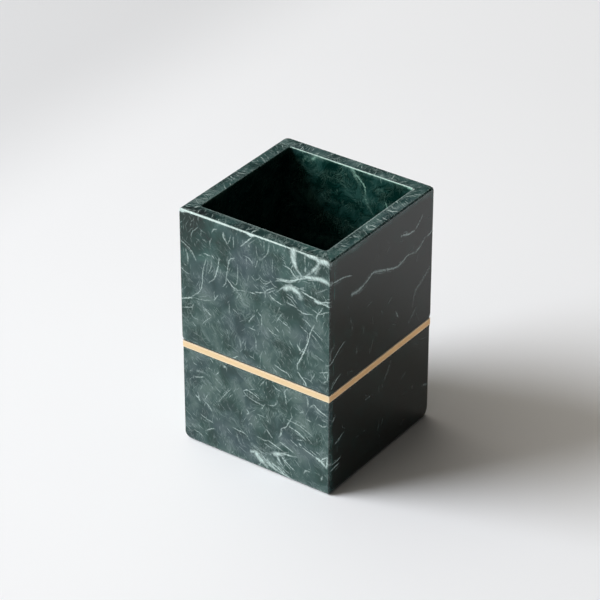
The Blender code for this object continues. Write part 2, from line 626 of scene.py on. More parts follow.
@dataclass
class MitredSlab:
    """One slab or strip of a square ring, mitred at both ends.

    Attributes:
        side: The side it stands on.
        half_side: From the cup's axis to its outer face.
        thickness: From its outer to its inner face.
        foot: Height of its lower edge.
        head: Height of its upper edge.
        easings: Its arrises: inner foot, outer foot, outer head and inner head.
        left: The corner at its left end, seen from outside.
        right: The corner at its right end.
        pitch: Longest step along the slab and up its outer face.
        inner_pitch: Longest step up its inner face.
        inner_fillet: Radius of the glue squeezed into the corner inside.
        seam: How far each mitre stands back from the corner's own plane, along the slab.
        sheet_head: Height at which the unrolled sheet turns inwards.
        sheet_turn: Length of the sheet from one side to the next.
        nick_seed: Start of the random draws of the chips.
    """

    side: Side
    half_side: float
    thickness: float
    foot: float
    head: float
    easings: tuple[Easing, Easing, Easing, Easing]
    left: UprightCorner
    right: UprightCorner
    pitch: float
    inner_pitch: float = 0.6 * MM
    inner_fillet: float = 1.2 * MM
    seam: float = 0.06 * MM
    sheet_head: float = RIM_STARTS * MM
    sheet_turn: float = 2 * FRONT_ENDS * MM
    nick_seed: int = 3

    ARC_STEPS = 4  # mesh steps round half an upright corner
    FOOT_PITCH = 0.6 * MM  # longest mesh step across the foot
    HEAD_PITCH = 0.4 * MM  # longest mesh step across the head
    NICKS = 16  # chips along each arris
    NICK_REACH = 0.4 * MM  # how far a chip spreads over the faces beside it

    def rows(self) -> dict[str, np.ndarray]:
        """Works out the slab's section, from the middle of its foot out, up, over and down.

        Returns:
            For each row its depth behind the outer face, its height, its place S on the sheet in
            millimetres and its closeness to an arris, and the number of the row at the middle of the
            head.
        """
        t = self.thickness
        corners = ((t, self.foot), (0.0, self.foot), (0.0, self.head), (t, self.head))
        pitches = (self.FOOT_PITCH, self.pitch, self.HEAD_PITCH, self.inner_pitch)
        path, arris = eased_section(corners, self.easings, pitches)
        middle = self.nearest_middle(path, self.foot)
        path, arris = np.roll(path, -middle, axis=0), np.roll(arris, -middle)
        crest = self.nearest_middle(path, self.head)
        depth, height = path.T
        low = height < (self.foot + self.head) / 2
        outward = height + np.where(low, -depth, depth)
        inward = 2 * self.sheet_head - height + np.where(low, 2 * t - depth, depth)
        sheet = np.where(np.arange(len(path)) <= crest, outward, inward)
        return {"depth": depth, "height": height, "sheet": sheet / MM, "arris": arris,
                "crest": np.array(crest)}

    def nearest_middle(self, path: np.ndarray, height: float) -> int:
        """Finds which of a section's points at a height lies nearest the middle of the thickness."""
        off = np.abs(path[:, 0] - self.thickness / 2) + 10 * np.abs(path[:, 1] - height)
        return int(off.argmin())

    def columns(self) -> tuple[np.ndarray, np.ndarray]:
        """Works out the steps along the slab.

        Returns:
            For each column its share of the straight run, from -1 to 1, and how far round the
            corner's arc it lies, in radians, negative at the left end.
        """
        steps = math.ceil(2 * self.half_side / self.pitch)
        straight = np.linspace(-1, 1, steps + 1)
        arc = np.linspace(0, math.pi / 4, self.ARC_STEPS + 1)[1:]
        share = np.concatenate([-np.ones(len(arc)), straight, np.ones(len(arc))])
        turn = np.concatenate([-arc[::-1], np.zeros(len(straight)), arc])
        return share, turn

    def surface(self) -> dict[str, np.ndarray]:
        """Carries the section along the slab.

        A row at depth D runs straight to a corner radius short of the mitre and then round an eighth
        of a circle, whose end lies on the mitre plane whatever D and the radius are. From 15% to 85%
        of the thickness the outer corner's radius gives way to the inner fillet's.

        Returns:
            For the grid: points, places U and S on the sheet, closeness to an arris, and the rows.
        """
        rows = self.rows()
        share, turn = self.columns()
        depth, height = rows["depth"][:, None], rows["height"][:, None]
        above, below = height - self.foot, self.head - height
        inside = np.clip((depth - 0.15 * self.thickness) / (0.7 * self.thickness), 0, 1)
        left = self.left.at(above, below) * (1 - inside) + self.inner_fillet * inside
        right = self.right.at(above, below) * (1 - inside) + self.inner_fillet * inside
        radius = np.where(share < 0, left, right)
        reach = self.half_side - self.seam - depth
        along = (left - right) / 2 + share * (reach - (left + right) / 2) + radius * np.sin(turn)
        rounded_depth = depth + radius * (1 - np.cos(turn))
        chip = self.chips(along, rows)
        to_corner = reach - np.abs(along)
        upright = np.clip(1 - to_corner / ARRIS_WIDTH, 0, 1) ** 2 * (inside < 0.5)
        arris = np.maximum(rows["arris"][:, None], upright)
        inward = np.where(inside < 0.5, 1.0, -1.0)
        downward = np.where(above < below, 1.0, -1.0)
        points = np.stack(np.broadcast_arrays(
            along, rounded_depth + chip * inward - self.half_side, height + chip * downward), axis=-1)
        return {"points": points, "u": (along + self.side.sheet_turns * self.sheet_turn) / MM,
                "arris": arris, **{name: rows[name] for name in ("sheet", "crest")}}

    def chips(self, along: np.ndarray, rows: dict[str, np.ndarray]) -> np.ndarray:
        """Small chips along the arrises: shallow dips at random places, deepest on the arris.

        Args:
            along: The grid's places along the slab.
            rows: The section's rows.

        Returns:
            How far each point of the grid moves into the stone along each axis.
        """
        depth, height = rows["depth"][:, None], rows["height"][:, None]
        rng = np.random.default_rng(self.nick_seed + 10 * self.side.value)
        places = ((self.thickness, self.foot), (0.0, self.foot), (0.0, self.head),
                  (self.thickness, self.head))
        moved = np.zeros_like(along)
        for (at_depth, at_height), easing in zip(places, self.easings):
            centre = rng.uniform(-self.half_side, self.half_side, self.NICKS)
            width = rng.uniform(0.25, 0.8, self.NICKS) * MM
            deep = easing.nicks * rng.beta(0.9, 2.6, self.NICKS)
            if not easing.nicks:
                continue
            away = np.hypot(depth - at_depth, height - at_height) - easing.leg
            near = np.flatnonzero(away[:, 0] < self.NICK_REACH)
            dips = deep * np.clip(1 - ((along[near][..., None] - centre) / width) ** 2, 0, 1)
            moved[near] += dips.max(axis=-1) * np.clip(1 - away[near] / self.NICK_REACH, 0, 1)
        return moved

    @staticmethod
    def faces(count: int, width: int, crest: int) -> tuple[np.ndarray, np.ndarray]:
        """Joins the grid into faces, with the rows closed into a ring and a cap on each mitre.

        Each cap steps up the outer and the inner row numbers side by side, from foot to head.

        Args:
            count: Rows of the grid.
            width: Columns of the grid.
            crest: The row at the middle of the head.

        Returns:
            Quads of the surface, and triangles of both caps, facing out.
        """
        row = np.arange(count)[:, None] * width
        after = np.roll(row, -1, axis=0)
        column = np.arange(width - 1)[None]
        quads = np.stack([row + column, row + column + 1, after + column + 1, after + column], axis=-1)
        outer = np.arange(crest + 1)
        inner = np.concatenate([[0], np.arange(count - 1, crest - 1, -1)])
        outer_middle = (np.arange(len(outer) - 1) + 0.5) / (len(outer) - 1)
        inner_middle = (np.arange(len(inner) - 1) + 0.5) / (len(inner) - 1)
        facing = np.searchsorted(inner_middle, outer_middle)
        reached = np.searchsorted(outer_middle, inner_middle, side="right")
        outer_steps = np.stack([outer[1:], outer[:-1], inner[facing]], axis=1)
        inner_steps = np.stack([outer[reached], inner[:-1], inner[1:]], axis=1)
        cap = np.vstack([outer_steps, inner_steps])
        whole = (cap[:, 0] != cap[:, 1]) & (cap[:, 1] != cap[:, 2]) & (cap[:, 0] != cap[:, 2])
        cap = cap[whole] * width
        return quads.reshape(-1, 4), np.vstack([cap[:, ::-1], cap + width - 1])

    def loop_sheet(self, surface: dict[str, np.ndarray], quads: np.ndarray,
                   caps: np.ndarray) -> np.ndarray:
        """Places every face corner on the sheet.

        The quads that close the section meet the first row from the inner side, so there they take
        an S half a millimetre past the last row's.

        Args:
            surface: The grid.
            quads: Its quads, row by row.
            caps: The mitres' triangles.

        Returns:
            U and S for each corner of each face.
        """
        count, width = surface["u"].shape
        s = np.repeat(surface["sheet"], width)
        sheet = np.stack([surface["u"].ravel(), s], axis=1)
        placed = sheet[np.concatenate([quads.ravel(), caps.ravel()])]
        last_row = 4 * (count - 1) * (width - 1) + np.arange(width - 1) * 4
        for corner in (2, 3):
            placed[last_row + corner, 1] = surface["sheet"][-1] + 0.5
        return placed

    def build(self, name: str, figure: Optional[StoneFigure] = None) -> bpy.types.Object:
        """Makes the slab's object, with its place on the sheet as a UV map.

        Args:
            name: The object's name.
            figure: The stone's figure, or None for another material.

        Returns:
            The object.
        """
        surface = self.surface()
        count, width = surface["u"].shape
        points = self.side.turn(surface["points"].reshape(-1, 3))
        quads, caps = self.faces(count, width, int(surface["crest"]))
        mesh = mesh_from(name, points, quads, caps, self.loop_sheet(surface, quads, caps))
        add_layer(mesh, ARRIS_LAYER, surface["arris"])
        if figure:
            veins = figure.sample_veins(surface["u"], surface["sheet"], self.pitch / MM)
            for layer, values in veins.items():
                add_layer(mesh, layer, values)
            add_layer(mesh, BED_LAYER, figure.sample_beds(surface["u"], surface["sheet"]))
        return show(name, mesh)


def add_layer(mesh: bpy.types.Mesh, name: str, values: np.ndarray) -> None:
    """Stores one or three numbers for each point of a mesh, for its material to read.

    Args:
        mesh: The mesh.
        name: The layer's name.
        values: The numbers, in the points' order.
    """
    is_single = values.size == len(mesh.vertices)
    layer = mesh.attributes.new(name, "FLOAT" if is_single else "FLOAT_VECTOR", "POINT")
    layer.data.foreach_set("value" if is_single else "vector", values.astype(np.float32).ravel())


def mesh_from(name: str, points: np.ndarray, quads: np.ndarray, triangles: np.ndarray,
              loop_sheet: Optional[np.ndarray] = None) -> bpy.types.Mesh:
    """Puts whole arrays into a mesh and shades it smooth away from its sharp edges.

    Args:
        name: The mesh's name.
        points: Rows of x, y and z.
        quads: Four point numbers for each quad.
        triangles: Three point numbers for each triangle.
        loop_sheet: U and S for each face's corners in turn, which become a UV map.

    Returns:
        The mesh.
    """
    corners = np.concatenate([quads.ravel(), triangles.ravel()]).astype(np.int32)
    sizes = np.concatenate([np.full(len(quads), 4), np.full(len(triangles), 3)])
    starts = np.concatenate([[0], np.cumsum(sizes)[:-1]]).astype(np.int32)
    mesh = bpy.data.meshes.new(name)
    mesh.vertices.add(len(points))
    mesh.vertices.foreach_set("co", points.astype(np.float32).ravel())
    mesh.loops.add(len(corners))
    mesh.loops.foreach_set("vertex_index", corners)
    mesh.polygons.add(len(sizes))
    mesh.polygons.foreach_set("loop_start", starts)
    mesh.update(calc_edges=True)
    if loop_sheet is not None:
        layer = mesh.uv_layers.new(name=SHEET_MAP)
        layer.data.foreach_set("uv", loop_sheet.astype(np.float32).ravel())
    mesh.validate()
    mesh.shade_smooth()
    mesh.set_sharp_from_angle(angle=SMOOTH_UNDER)
    return mesh


def show(name: str, mesh: bpy.types.Mesh) -> bpy.types.Object:
    """Makes an object of a mesh, at the origin.

    Args:
        name: The object's name.
        mesh: Its mesh, in place.

    Returns:
        The object.
    """
    piece = bpy.data.objects.new(name, mesh)
    bpy.context.scene.collection.objects.link(piece)
    return piece


def stacked_rings(rings: np.ndarray) -> tuple[np.ndarray, np.ndarray, np.ndarray]:
    """Joins closed rings into a skin, from the lowest to the highest, and closes both ends.

    Args:
        rings: For each ring its points, anticlockwise seen from above, as x, y and z.

    Returns:
        The points with the ends' middles last, the quads, and the ends' triangles, facing out.
    """
    count, width = rings.shape[:2]
    row = np.arange(count - 1)[:, None] * width
    step = np.arange(width)[None]
    after = (step + 1) % width
    quads = np.stack([row + step, row + after, row + width + after, row + width + step], axis=-1)
    points = np.vstack([rings.reshape(-1, 3), rings[0].mean(axis=0), rings[-1].mean(axis=0)])
    low, high = count * width, count * width + 1
    step, after = step[0], after[0]
    top = (count - 1) * width
    ends = np.vstack([np.stack([after, step, np.full(width, low)], axis=1),
                      np.stack([top + step, top + after, np.full(width, high)], axis=1)])
    return points, quads.reshape(-1, 4), ends


def rounded_square(half: float, radius: float, straight_steps: int, corner_steps: int) -> np.ndarray:
    """Walks anticlockwise round a square with round corners.

    Args:
        half: From its middle to a side.
        radius: Of its corners.
        straight_steps: Steps along each straight.
        corner_steps: Steps round each corner.

    Returns:
        The points, as rows of x and y.
    """
    reach = half - radius
    t = np.linspace(-1, 1, straight_steps, endpoint=False)
    straight = np.stack([np.full_like(t, half), t * reach], axis=1)
    turn = np.linspace(0, math.pi / 2, corner_steps, endpoint=False)
    corner = np.stack([reach + radius * np.cos(turn), reach + radius * np.sin(turn)], axis=1)
    quarter = np.vstack([straight, corner])
    x, y = quarter.T
    turned = [np.stack(pair, axis=1) for pair in ((x, y), (-y, x), (-x, -y), (y, -x))]
    return np.vstack(turned)


def dress(piece: bpy.types.Object, material: bpy.types.Material, node: Optional[str] = None) -> bpy.types.Object:
    """Gives a piece its finish and puts it in the place of a node of the model.

    Args:
        piece: The finished piece.
        material: Its finish.
        node: The node that it stands for, if the model has one.

    Returns:
        The piece.
    """
    piece.data.materials.append(material)
    if node:
        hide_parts(node)
    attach(piece, BODY)
    return piece


@dataclass(frozen=True)
class PolishedMarble:
    """Green serpentine marble, sawn into slabs, honed, polished and waxed.

    The wax lays a soft, thin mirror over a dark, cloudy green, which is crossed by pale calcite.
    Every pattern lies on the unrolled sheet, and its sizes are in millimetres.

    Attributes:
        ground: The ground's colours, from its darkest clouds to its palest.
        slate: What the ground turns to in bluer beds.
        calcite: The veins outside.
        green_calcite: The veins down inside.
        roughness: Of the polish, which is duller on calcite.
        ior: Of wax on stone.
        drift: Size of the waves that every pattern sways in.
        cloud: Size of the ground's clouds.
        shard: Size of its broken fragments.
        slate_patch: Size of its bluer patches.
        fray: Size of the frays on the veins' edges.
        fibres: For each set of fibres in the ground its heading in degrees from U towards S, its
            length, and how much it lightens the ground.
        crossings: For each set of hairlines its heading, length, width and tone.
        rim_lines: The same on the rim alone.
        well_lines: The same down inside.
    """

    ground: tuple[str, ...] = ("#10322E", "#1F3F3B", "#2F4A48", "#495F5C")
    slate: str = "#2C3E47"
    calcite: str = "#B4C9C8"
    green_calcite: str = "#9CCDBF"
    roughness: float = 0.15
    ior: float = 1.45
    drift: float = 12.0
    cloud: float = 9.0
    shard: float = 6.5
    slate_patch: float = 22.0
    fray: float = 0.9
    fibres: tuple[tuple[float, ...], ...] = ((-48, 6.0, 0.09), (68, 4.0, 0.05))
    crossings: tuple[tuple[float, ...], ...] = ((-50, 6.0, 1.3, 0.17), (74, 5.0, 1.2, 0.13))
    rim_lines: tuple[tuple[float, ...], ...] = ((60, 5.0, 0.9, 0.34), (116, 5.0, 0.9, 0.34))
    well_lines: tuple[tuple[float, ...], ...] = ((38, 5.0, 0.7, 0.15), (104, 5.0, 0.6, 0.12))

    def make(self) -> bpy.types.Material:
        """Builds the material.

        Clouds, broken fragments and crossing hairlines come from noise. The placed veins and beds come from the
        mesh's own layers, with the veins' edges frayed by fine noise; among these are painted highlights along
        some arrises, and painted shade over the outer right face and down inside. Noise also shifts the places
        that the patterns are read at, so that nothing runs straight.

        Returns:
            The material.
        """
        material, add = new_material("polished_serpentine_marble")
        sheet = add("UVMap", uv_map=SHEET_MAP)["UV"]
        up = add("SeparateXYZ", sheet)[1]
        drift = add("TexNoise", {"Vector": sheet, "Scale": 1 / self.drift, "Detail": 2.0},
                    noise_dimensions="2D")["Color"]
        drift = add("VectorMath", drift, (0.5, 0.5, 0.5), operation="SUBTRACT")[0]
        warped = add("VectorMath", drift, (9.0, 9.0, 0.0), sheet, operation="MULTIPLY_ADD")[0]
        bed = add("Attribute", attribute_name=BED_LAYER)["Fac"]
        ground = self.mix_ground(add, sheet, warped, up, bed)
        pale = self.draw_calcite(add, sheet, warped, up, bed)
        in_well = add("MapRange", up, WELL_STARTS - 0.2, WELL_STARTS + 0.4)[0]
        calcite = add("Mix", {0: in_well, 6: linear(self.calcite), 7: linear(self.green_calcite)},
                      data_type="RGBA")[2]
        colour = add("Mix", {0: pale, 6: ground, 7: calcite}, data_type="RGBA")[2]
        rough = add("MapRange", pale, 0.0, 1.0, self.roughness, self.roughness + 0.15)[0]
        bump = add("Bump", {"Height": pale, "Distance": 0.015 * MM, "Strength": 0.4})[0]
        shader = add("BsdfPrincipled", {"Base Color": colour, "Roughness": rough, "IOR": self.ior,
                                        "Normal": bump})[0]
        add("OutputMaterial", shader)
        return material

    @staticmethod
    def drawn_out(add: Adder, place: Socket, heading: float, length: float, width: float,
                  detail: float = 2.0, roughness: float = 0.6) -> Socket:
        """Makes a pattern of spots that are drawn out along a heading.

        Places are measured along and across the heading in units of the spots' length and width,
        from an origin that moves with both, and noise is read there.

        Args:
            add: Adds a node to the material.
            place: Where on the sheet.
            heading: In degrees from U towards S.
            length: Of the largest spots.
            width: Of the largest spots.
            detail: Octaves.
            roughness: How strong each next octave is.

        Returns:
            The pattern's value, mostly from 0.3 to 0.7.
        """
        spots = add("Mapping", place, (31 * length, 47 * width, 0), (0, 0, math.radians(heading)),
                    (length, width, 1.0), vector_type="TEXTURE")[0]
        return add("TexNoise", {"Vector": spots, "Scale": 1.0, "Detail": detail, "Roughness": roughness},
                   noise_dimensions="2D")[0]

    def mix_ground(self, add: Adder, sheet: Socket, warped: Socket, up: Socket, bed: Socket) -> Socket:
        """Mixes the stone's ground from clouds, fragments, fibres and beds, and paints shade over the outer
        right face and down inside.

        Args:
            add: Adds a node to the material.
            sheet: The place on the sheet.
            warped: The shifted place.
            up: The place's S.
            bed: Depth of the beds, which over the outer right face and down inside is painted shade.

        Returns:
            The ground's colour.
        """
        level = add("TexNoise", {"Vector": warped, "Scale": 1 / self.cloud, "Detail": 3.0,
                                 "Roughness": 0.4}, noise_dimensions="2D")[0]
        shard = add("TexVoronoi", {"Vector": warped, "Scale": 1 / self.shard}, voronoi_dimensions="2D")
        shard = add("SeparateXYZ", shard["Color"])[0]
        mottle = self.drawn_out(add, warped, 40.0, 4.0, 1.8, 5.0, 0.72)
        in_well = add("MapRange", up, WELL_STARTS - 0.2, WELL_STARTS + 0.4, 0.0, 0.95)[0]
        patterns = [(self.drawn_out(add, warped, heading, length, 1.0), share)
                    for heading, length, share in self.fibres]
        for pattern, share in (*patterns, (shard, 0.10), (mottle, in_well)):
            pattern = add("Math", pattern, 0.5, operation="SUBTRACT")[0]
            level = add("Math", pattern, share, level, operation="MULTIPLY_ADD")[0]
        sunk = add("Math", bed, 0.0, operation="MINIMUM")[0]
        level = add("Math", sunk, 0.12, level, operation="MULTIPLY_ADD")[0]
        colours = [linear(colour) for colour in self.ground]
        ground = add("ValToRGB", level, ramp=list(zip((0.33, 0.43, 0.53, 0.70), colours)))[0]
        bluish = add("TexNoise", {"Vector": sheet, "Scale": 1 / self.slate_patch, "Detail": 2.0,
                                  "Roughness": 0.6}, noise_dimensions="2D")[0]
        bluish = add("MapRange", bluish, 0.44, 0.64, 0.0, 0.55)[0]
        bluish = add("Math", bed, 0.6, bluish, operation="MULTIPLY_ADD", use_clamp=True)[0]
        slate = add("VectorMath", ground, (0.92, 0.84, 1.02), operation="MULTIPLY")[0]
        slate = add("Mix", {0: 0.5, 6: slate, 7: linear(self.slate)}, data_type="RGBA")[2]
        ground = add("Mix", {0: bluish, 6: ground, 7: slate}, data_type="RGBA")[2]
        # Dark beds are painted darker and greener; over the whole outer right face and down inside the cup this
        # is painted shade.
        dim = add("MapRange", sunk, -1.0, 0.0, 0.12, 1.0)[0]
        ground = add("VectorMath", {0: ground, "Scale": dim}, operation="SCALE")[0]
        greener = add("VectorMath", ground, (0.25, 1.3, 1.22), operation="MULTIPLY")[0]
        depth = add("Math", sunk, -1.0, operation="MULTIPLY")[0]
        return add("Mix", {0: depth, 6: ground, 7: greener}, data_type="RGBA")[2]

    def hairlines(self, add: Adder, warped: Socket, heading: float, length: float, width: float,
                  tone: float) -> Socket:
        """Draws fine hairlines where drawn-out noise passes its middle value, in scattered bundles.

        Args:
            add: Adds a node to the material.
            warped: The shifted place on the sheet.
            heading: Where they run, in degrees from U towards S.
            length: Of the noise's spots along them.
            width: Of the noise's spots across them.
            tone: How pale they are.

        Returns:
            How pale they make the stone.
        """
        ridge = self.drawn_out(add, warped, heading, length, width, 2.0, 0.4)
        ridge = add("Math", ridge, 0.5, operation="SUBTRACT")[0]
        ridge = add("Math", ridge, operation="ABSOLUTE")[0]
        ridge = add("MapRange", ridge, 0.008, 0.05, tone, 0.0)[0]
        bundle = self.drawn_out(add, warped, 0.0, 6.0 + width, 5.0, 3.0)
        bundle = add("MapRange", bundle, 0.44, 0.66)[0]
        return add("Math", ridge, bundle, operation="MULTIPLY")[0]

    def draw_calcite(self, add: Adder, sheet: Socket, warped: Socket, up: Socket, bed: Socket) -> Socket:
        """Works out how pale the stone is made: calcite veins, smears and hairlines, painted highlights drawn as
        lines along some arrises, and arrises paled partly as bruising and partly as a painted highlight.

        Args:
            add: Adds a node to the material.
            sheet: The place on the sheet.
            warped: The shifted place.
            up: The place's S.
            bed: Depth of the beds, which over the outer right face and down inside is painted shade.

        Returns:
            A value from 0 to 1.
        """
        fray = add("TexNoise", {"Vector": sheet, "Scale": 1 / self.fray, "Detail": 3.0,
                                "Roughness": 0.65}, noise_dimensions="2D")[0]
        frayed = add("Math", fray, 1.7, -0.85, operation="MULTIPLY_ADD")[0]
        places = add("SeparateXYZ", add("Attribute", attribute_name=LINE_PLACE_LAYER)["Vector"])
        tones = add("SeparateXYZ", add("Attribute", attribute_name=LINE_TONE_LAYER)["Vector"])
        products = []
        for place, tone in zip(places, tones):
            away = add("Math", place, operation="ABSOLUTE")[0]
            near = add("Math", frayed, away, operation="SUBTRACT")[0]
            near = add("MapRange", near, -0.72, 0.06, interpolation_type="SMOOTHSTEP")[0]
            products.append((near, tone))
        smear = add("Attribute", attribute_name=SMEAR_LAYER)["Fac"]
        cloudy = add("Math", frayed, 0.45, smear, operation="MULTIPLY_ADD")[0]
        cloudy = add("MapRange", cloudy, 0.06, 1.05, interpolation_type="SMOOTHSTEP")[0]
        cloudy = add("Math", cloudy, add("MapRange", smear, 0.0, 0.15)[0], operation="MULTIPLY")[0]
        streaks = self.drawn_out(add, warped, -52.0, 4.0, 0.7)
        streaks = add("MapRange", streaks, 0.34, 0.56, 0.62, 1.0)[0]
        streaks = add("Math", streaks, add("MapRange", smear, 1.0, 1.5)[0], operation="MAXIMUM")[0]
        products.append((cloudy, streaks))
        # Crossing hairlines fade out in dark beds, which include the painted shade of the outer right face and
        # the inside.
        clean = add("MapRange", bed, -0.6, 0.0)[0]
        on_rim = add("MapRange", up, RIM_STARTS - 0.2, RIM_STARTS + 0.4)[0]
        before_well = add("MapRange", up, WELL_STARTS + 0.2, WELL_STARTS - 0.4)[0]
        rim = add("Math", on_rim, before_well, operation="MULTIPLY")[0]
        in_well = add("MapRange", up, WELL_STARTS + 0.2, WELL_STARTS + 0.6)[0]
        for line_sets, where in ((self.crossings, clean), (self.rim_lines, rim), (self.well_lines, in_well)):
            products += [(self.hairlines(add, warped, *line_set), where) for line_set in line_sets]
        # Arrises paled where fine noise runs high: partly bruised stone, partly a painted highlight on their
        # eased edges.
        bruise = add("MapRange", fray, 0.5, 0.66, 0.0, 0.4)[0]
        products.append((bruise, add("Attribute", attribute_name=ARRIS_LAYER)["Fac"]))
        shares = [add("Math", share, where, operation="MULTIPLY")[0] for share, where in products]
        return reduce(lambda one, other: add("Math", one, other, operation="MAXIMUM")[0], shares)


@dataclass(frozen=True)
class BrushedBrass:
    """Yellow brass strip, brushed along its length with fine abrasive and lacquered.

    The brushing draws the light out across its lines, and its arrises are painted paler as a highlight.

    Attributes:
        colour: Of the faces.
        arris: Of the arrises, a painted highlight.
        roughness: Of the brushing, on the whole.
        scratch: Length and width of a scratch, in millimetres. The real ones are some 0.05 mm
            apart, and are drawn coarser so that they show.
    """

    colour: str = "#FDE1B4"
    arris: str = "#FFF0D6"
    roughness: float = 0.42
    scratch: Span = (14.0, 0.22)

    def make(self) -> bpy.types.Material:
        """Builds the material: long fine scratches change the roughness and tilt the surface.

        Returns:
            The material.
        """
        material, add = new_material("brushed_yellow_brass")
        sheet = add("UVMap", uv_map=SHEET_MAP)["UV"]
        length, width = self.scratch
        along = add("Mapping", {"Vector": sheet, "Scale": (1 / length, 1 / width, 1.0)})[0]
        lines = add("TexNoise", {"Vector": along, "Scale": 1.0, "Detail": 3.0}, noise_dimensions="2D")[0]
        arris = add("Attribute", attribute_name=ARRIS_LAYER)["Fac"]
        # The arrises are mixed towards a paler colour: a painted highlight.
        rubbed = add("Mix", {0: arris, 6: linear(self.colour), 7: linear(self.arris)},
                     data_type="RGBA")[2]
        tone = add("MapRange", lines, 0.3, 0.7, 0.94, 1.04)[0]
        colour = add("VectorMath", {0: rubbed, "Scale": tone}, operation="SCALE")[0]
        rough = add("MapRange", lines, 0.0, 1.0, self.roughness - 0.08, self.roughness + 0.08)[0]
        bump = add("Bump", {"Height": lines, "Distance": 0.01 * MM, "Strength": 0.5})[0]
        shader = add("BsdfPrincipled", {"Base Color": colour, "Metallic": 1.0, "Roughness": rough,
                                        "Normal": bump})[0]
        add("OutputMaterial", shader)
        return material


@dataclass(frozen=True)
class NeedleFelt:
    """Black needled wool felt, a dense mat of short fibres with no shine.

    Attributes:
        colour: Down between the fibres.
        fibre: Of the fibres that stand up.
        tuft: Size of a tuft.
    """

    colour: str = "#1B1E1C"
    fibre: str = "#3A3E3B"
    tuft: float = 0.5 * MM

    def make(self) -> bpy.types.Material:
        """Builds the material: crossed fibres as twisted noise, lighter where they stand up.

        Returns:
            The material.
        """
        material, add = new_material("black_needle_felt")
        place = add("TexCoord")["Object"]
        fibres = add("TexNoise", {"Vector": place, "Scale": 1 / self.tuft, "Detail": 6.0,
                                  "Roughness": 0.7, "Distortion": 2.0})[0]
        colour = add("ValToRGB", fibres, ramp=((0.35, linear(self.colour)), (0.75, linear(self.fibre))))[0]
        bump = add("Bump", {"Height": fibres, "Distance": 0.2 * MM, "Strength": 0.8})[0]
        shader = add("BsdfPrincipled", {"Base Color": colour, "Roughness": 0.95, "Sheen Weight": 0.3,
                                        "Normal": bump})[0]
        add("OutputMaterial", shader)
        return material


@dataclass(frozen=True)
class TintedEpoxy:
    """Black-green tinted epoxy, cured in the joints and trimmed just below the stone.

    Attributes:
        colour: Of the resin.
        cloudy: Where the filler gathers.
        clouds: Size of these clouds.
    """

    colour: str = "#060B0A"
    cloudy: str = "#121A18"
    clouds: float = 1.5 * MM

    def make(self) -> bpy.types.Material:
        """Builds the material: a dull resin with faint clouds of filler.

        Returns:
            The material.
        """
        material, add = new_material("tinted_epoxy")
        place = add("TexCoord")["Object"]
        filler = add("TexNoise", {"Vector": place, "Scale": 1 / self.clouds, "Detail": 4.0})[0]
        colour = add("ValToRGB", filler, ramp=((0.4, linear(self.colour)), (0.7, linear(self.cloudy))))[0]
        bump = add("Bump", {"Height": filler, "Distance": 0.05 * MM})[0]
        shader = add("BsdfPrincipled", {"Base Color": colour, "Roughness": 0.5, "IOR": 1.55,
                                        "Normal": bump})[0]
        add("OutputMaterial", shader)
        return material


def crisp(width: float, tone: float, *path: float, taper: float = 1.0) -> Vein:
    """Names a crisp vein by its width, its tone, and U and S of each point of its path in turn."""
    return Vein(tuple(zip(path[::2], path[1::2])), width, tone, False, taper)


def cloud(width: float, tone: float, *path: float, taper: float = 1.0) -> Vein:
    """Names a cloudy smear in the same way; a few of them are painted highlights along arrises."""
    return Vein(tuple(zip(path[::2], path[1::2])), width, tone, True, taper)


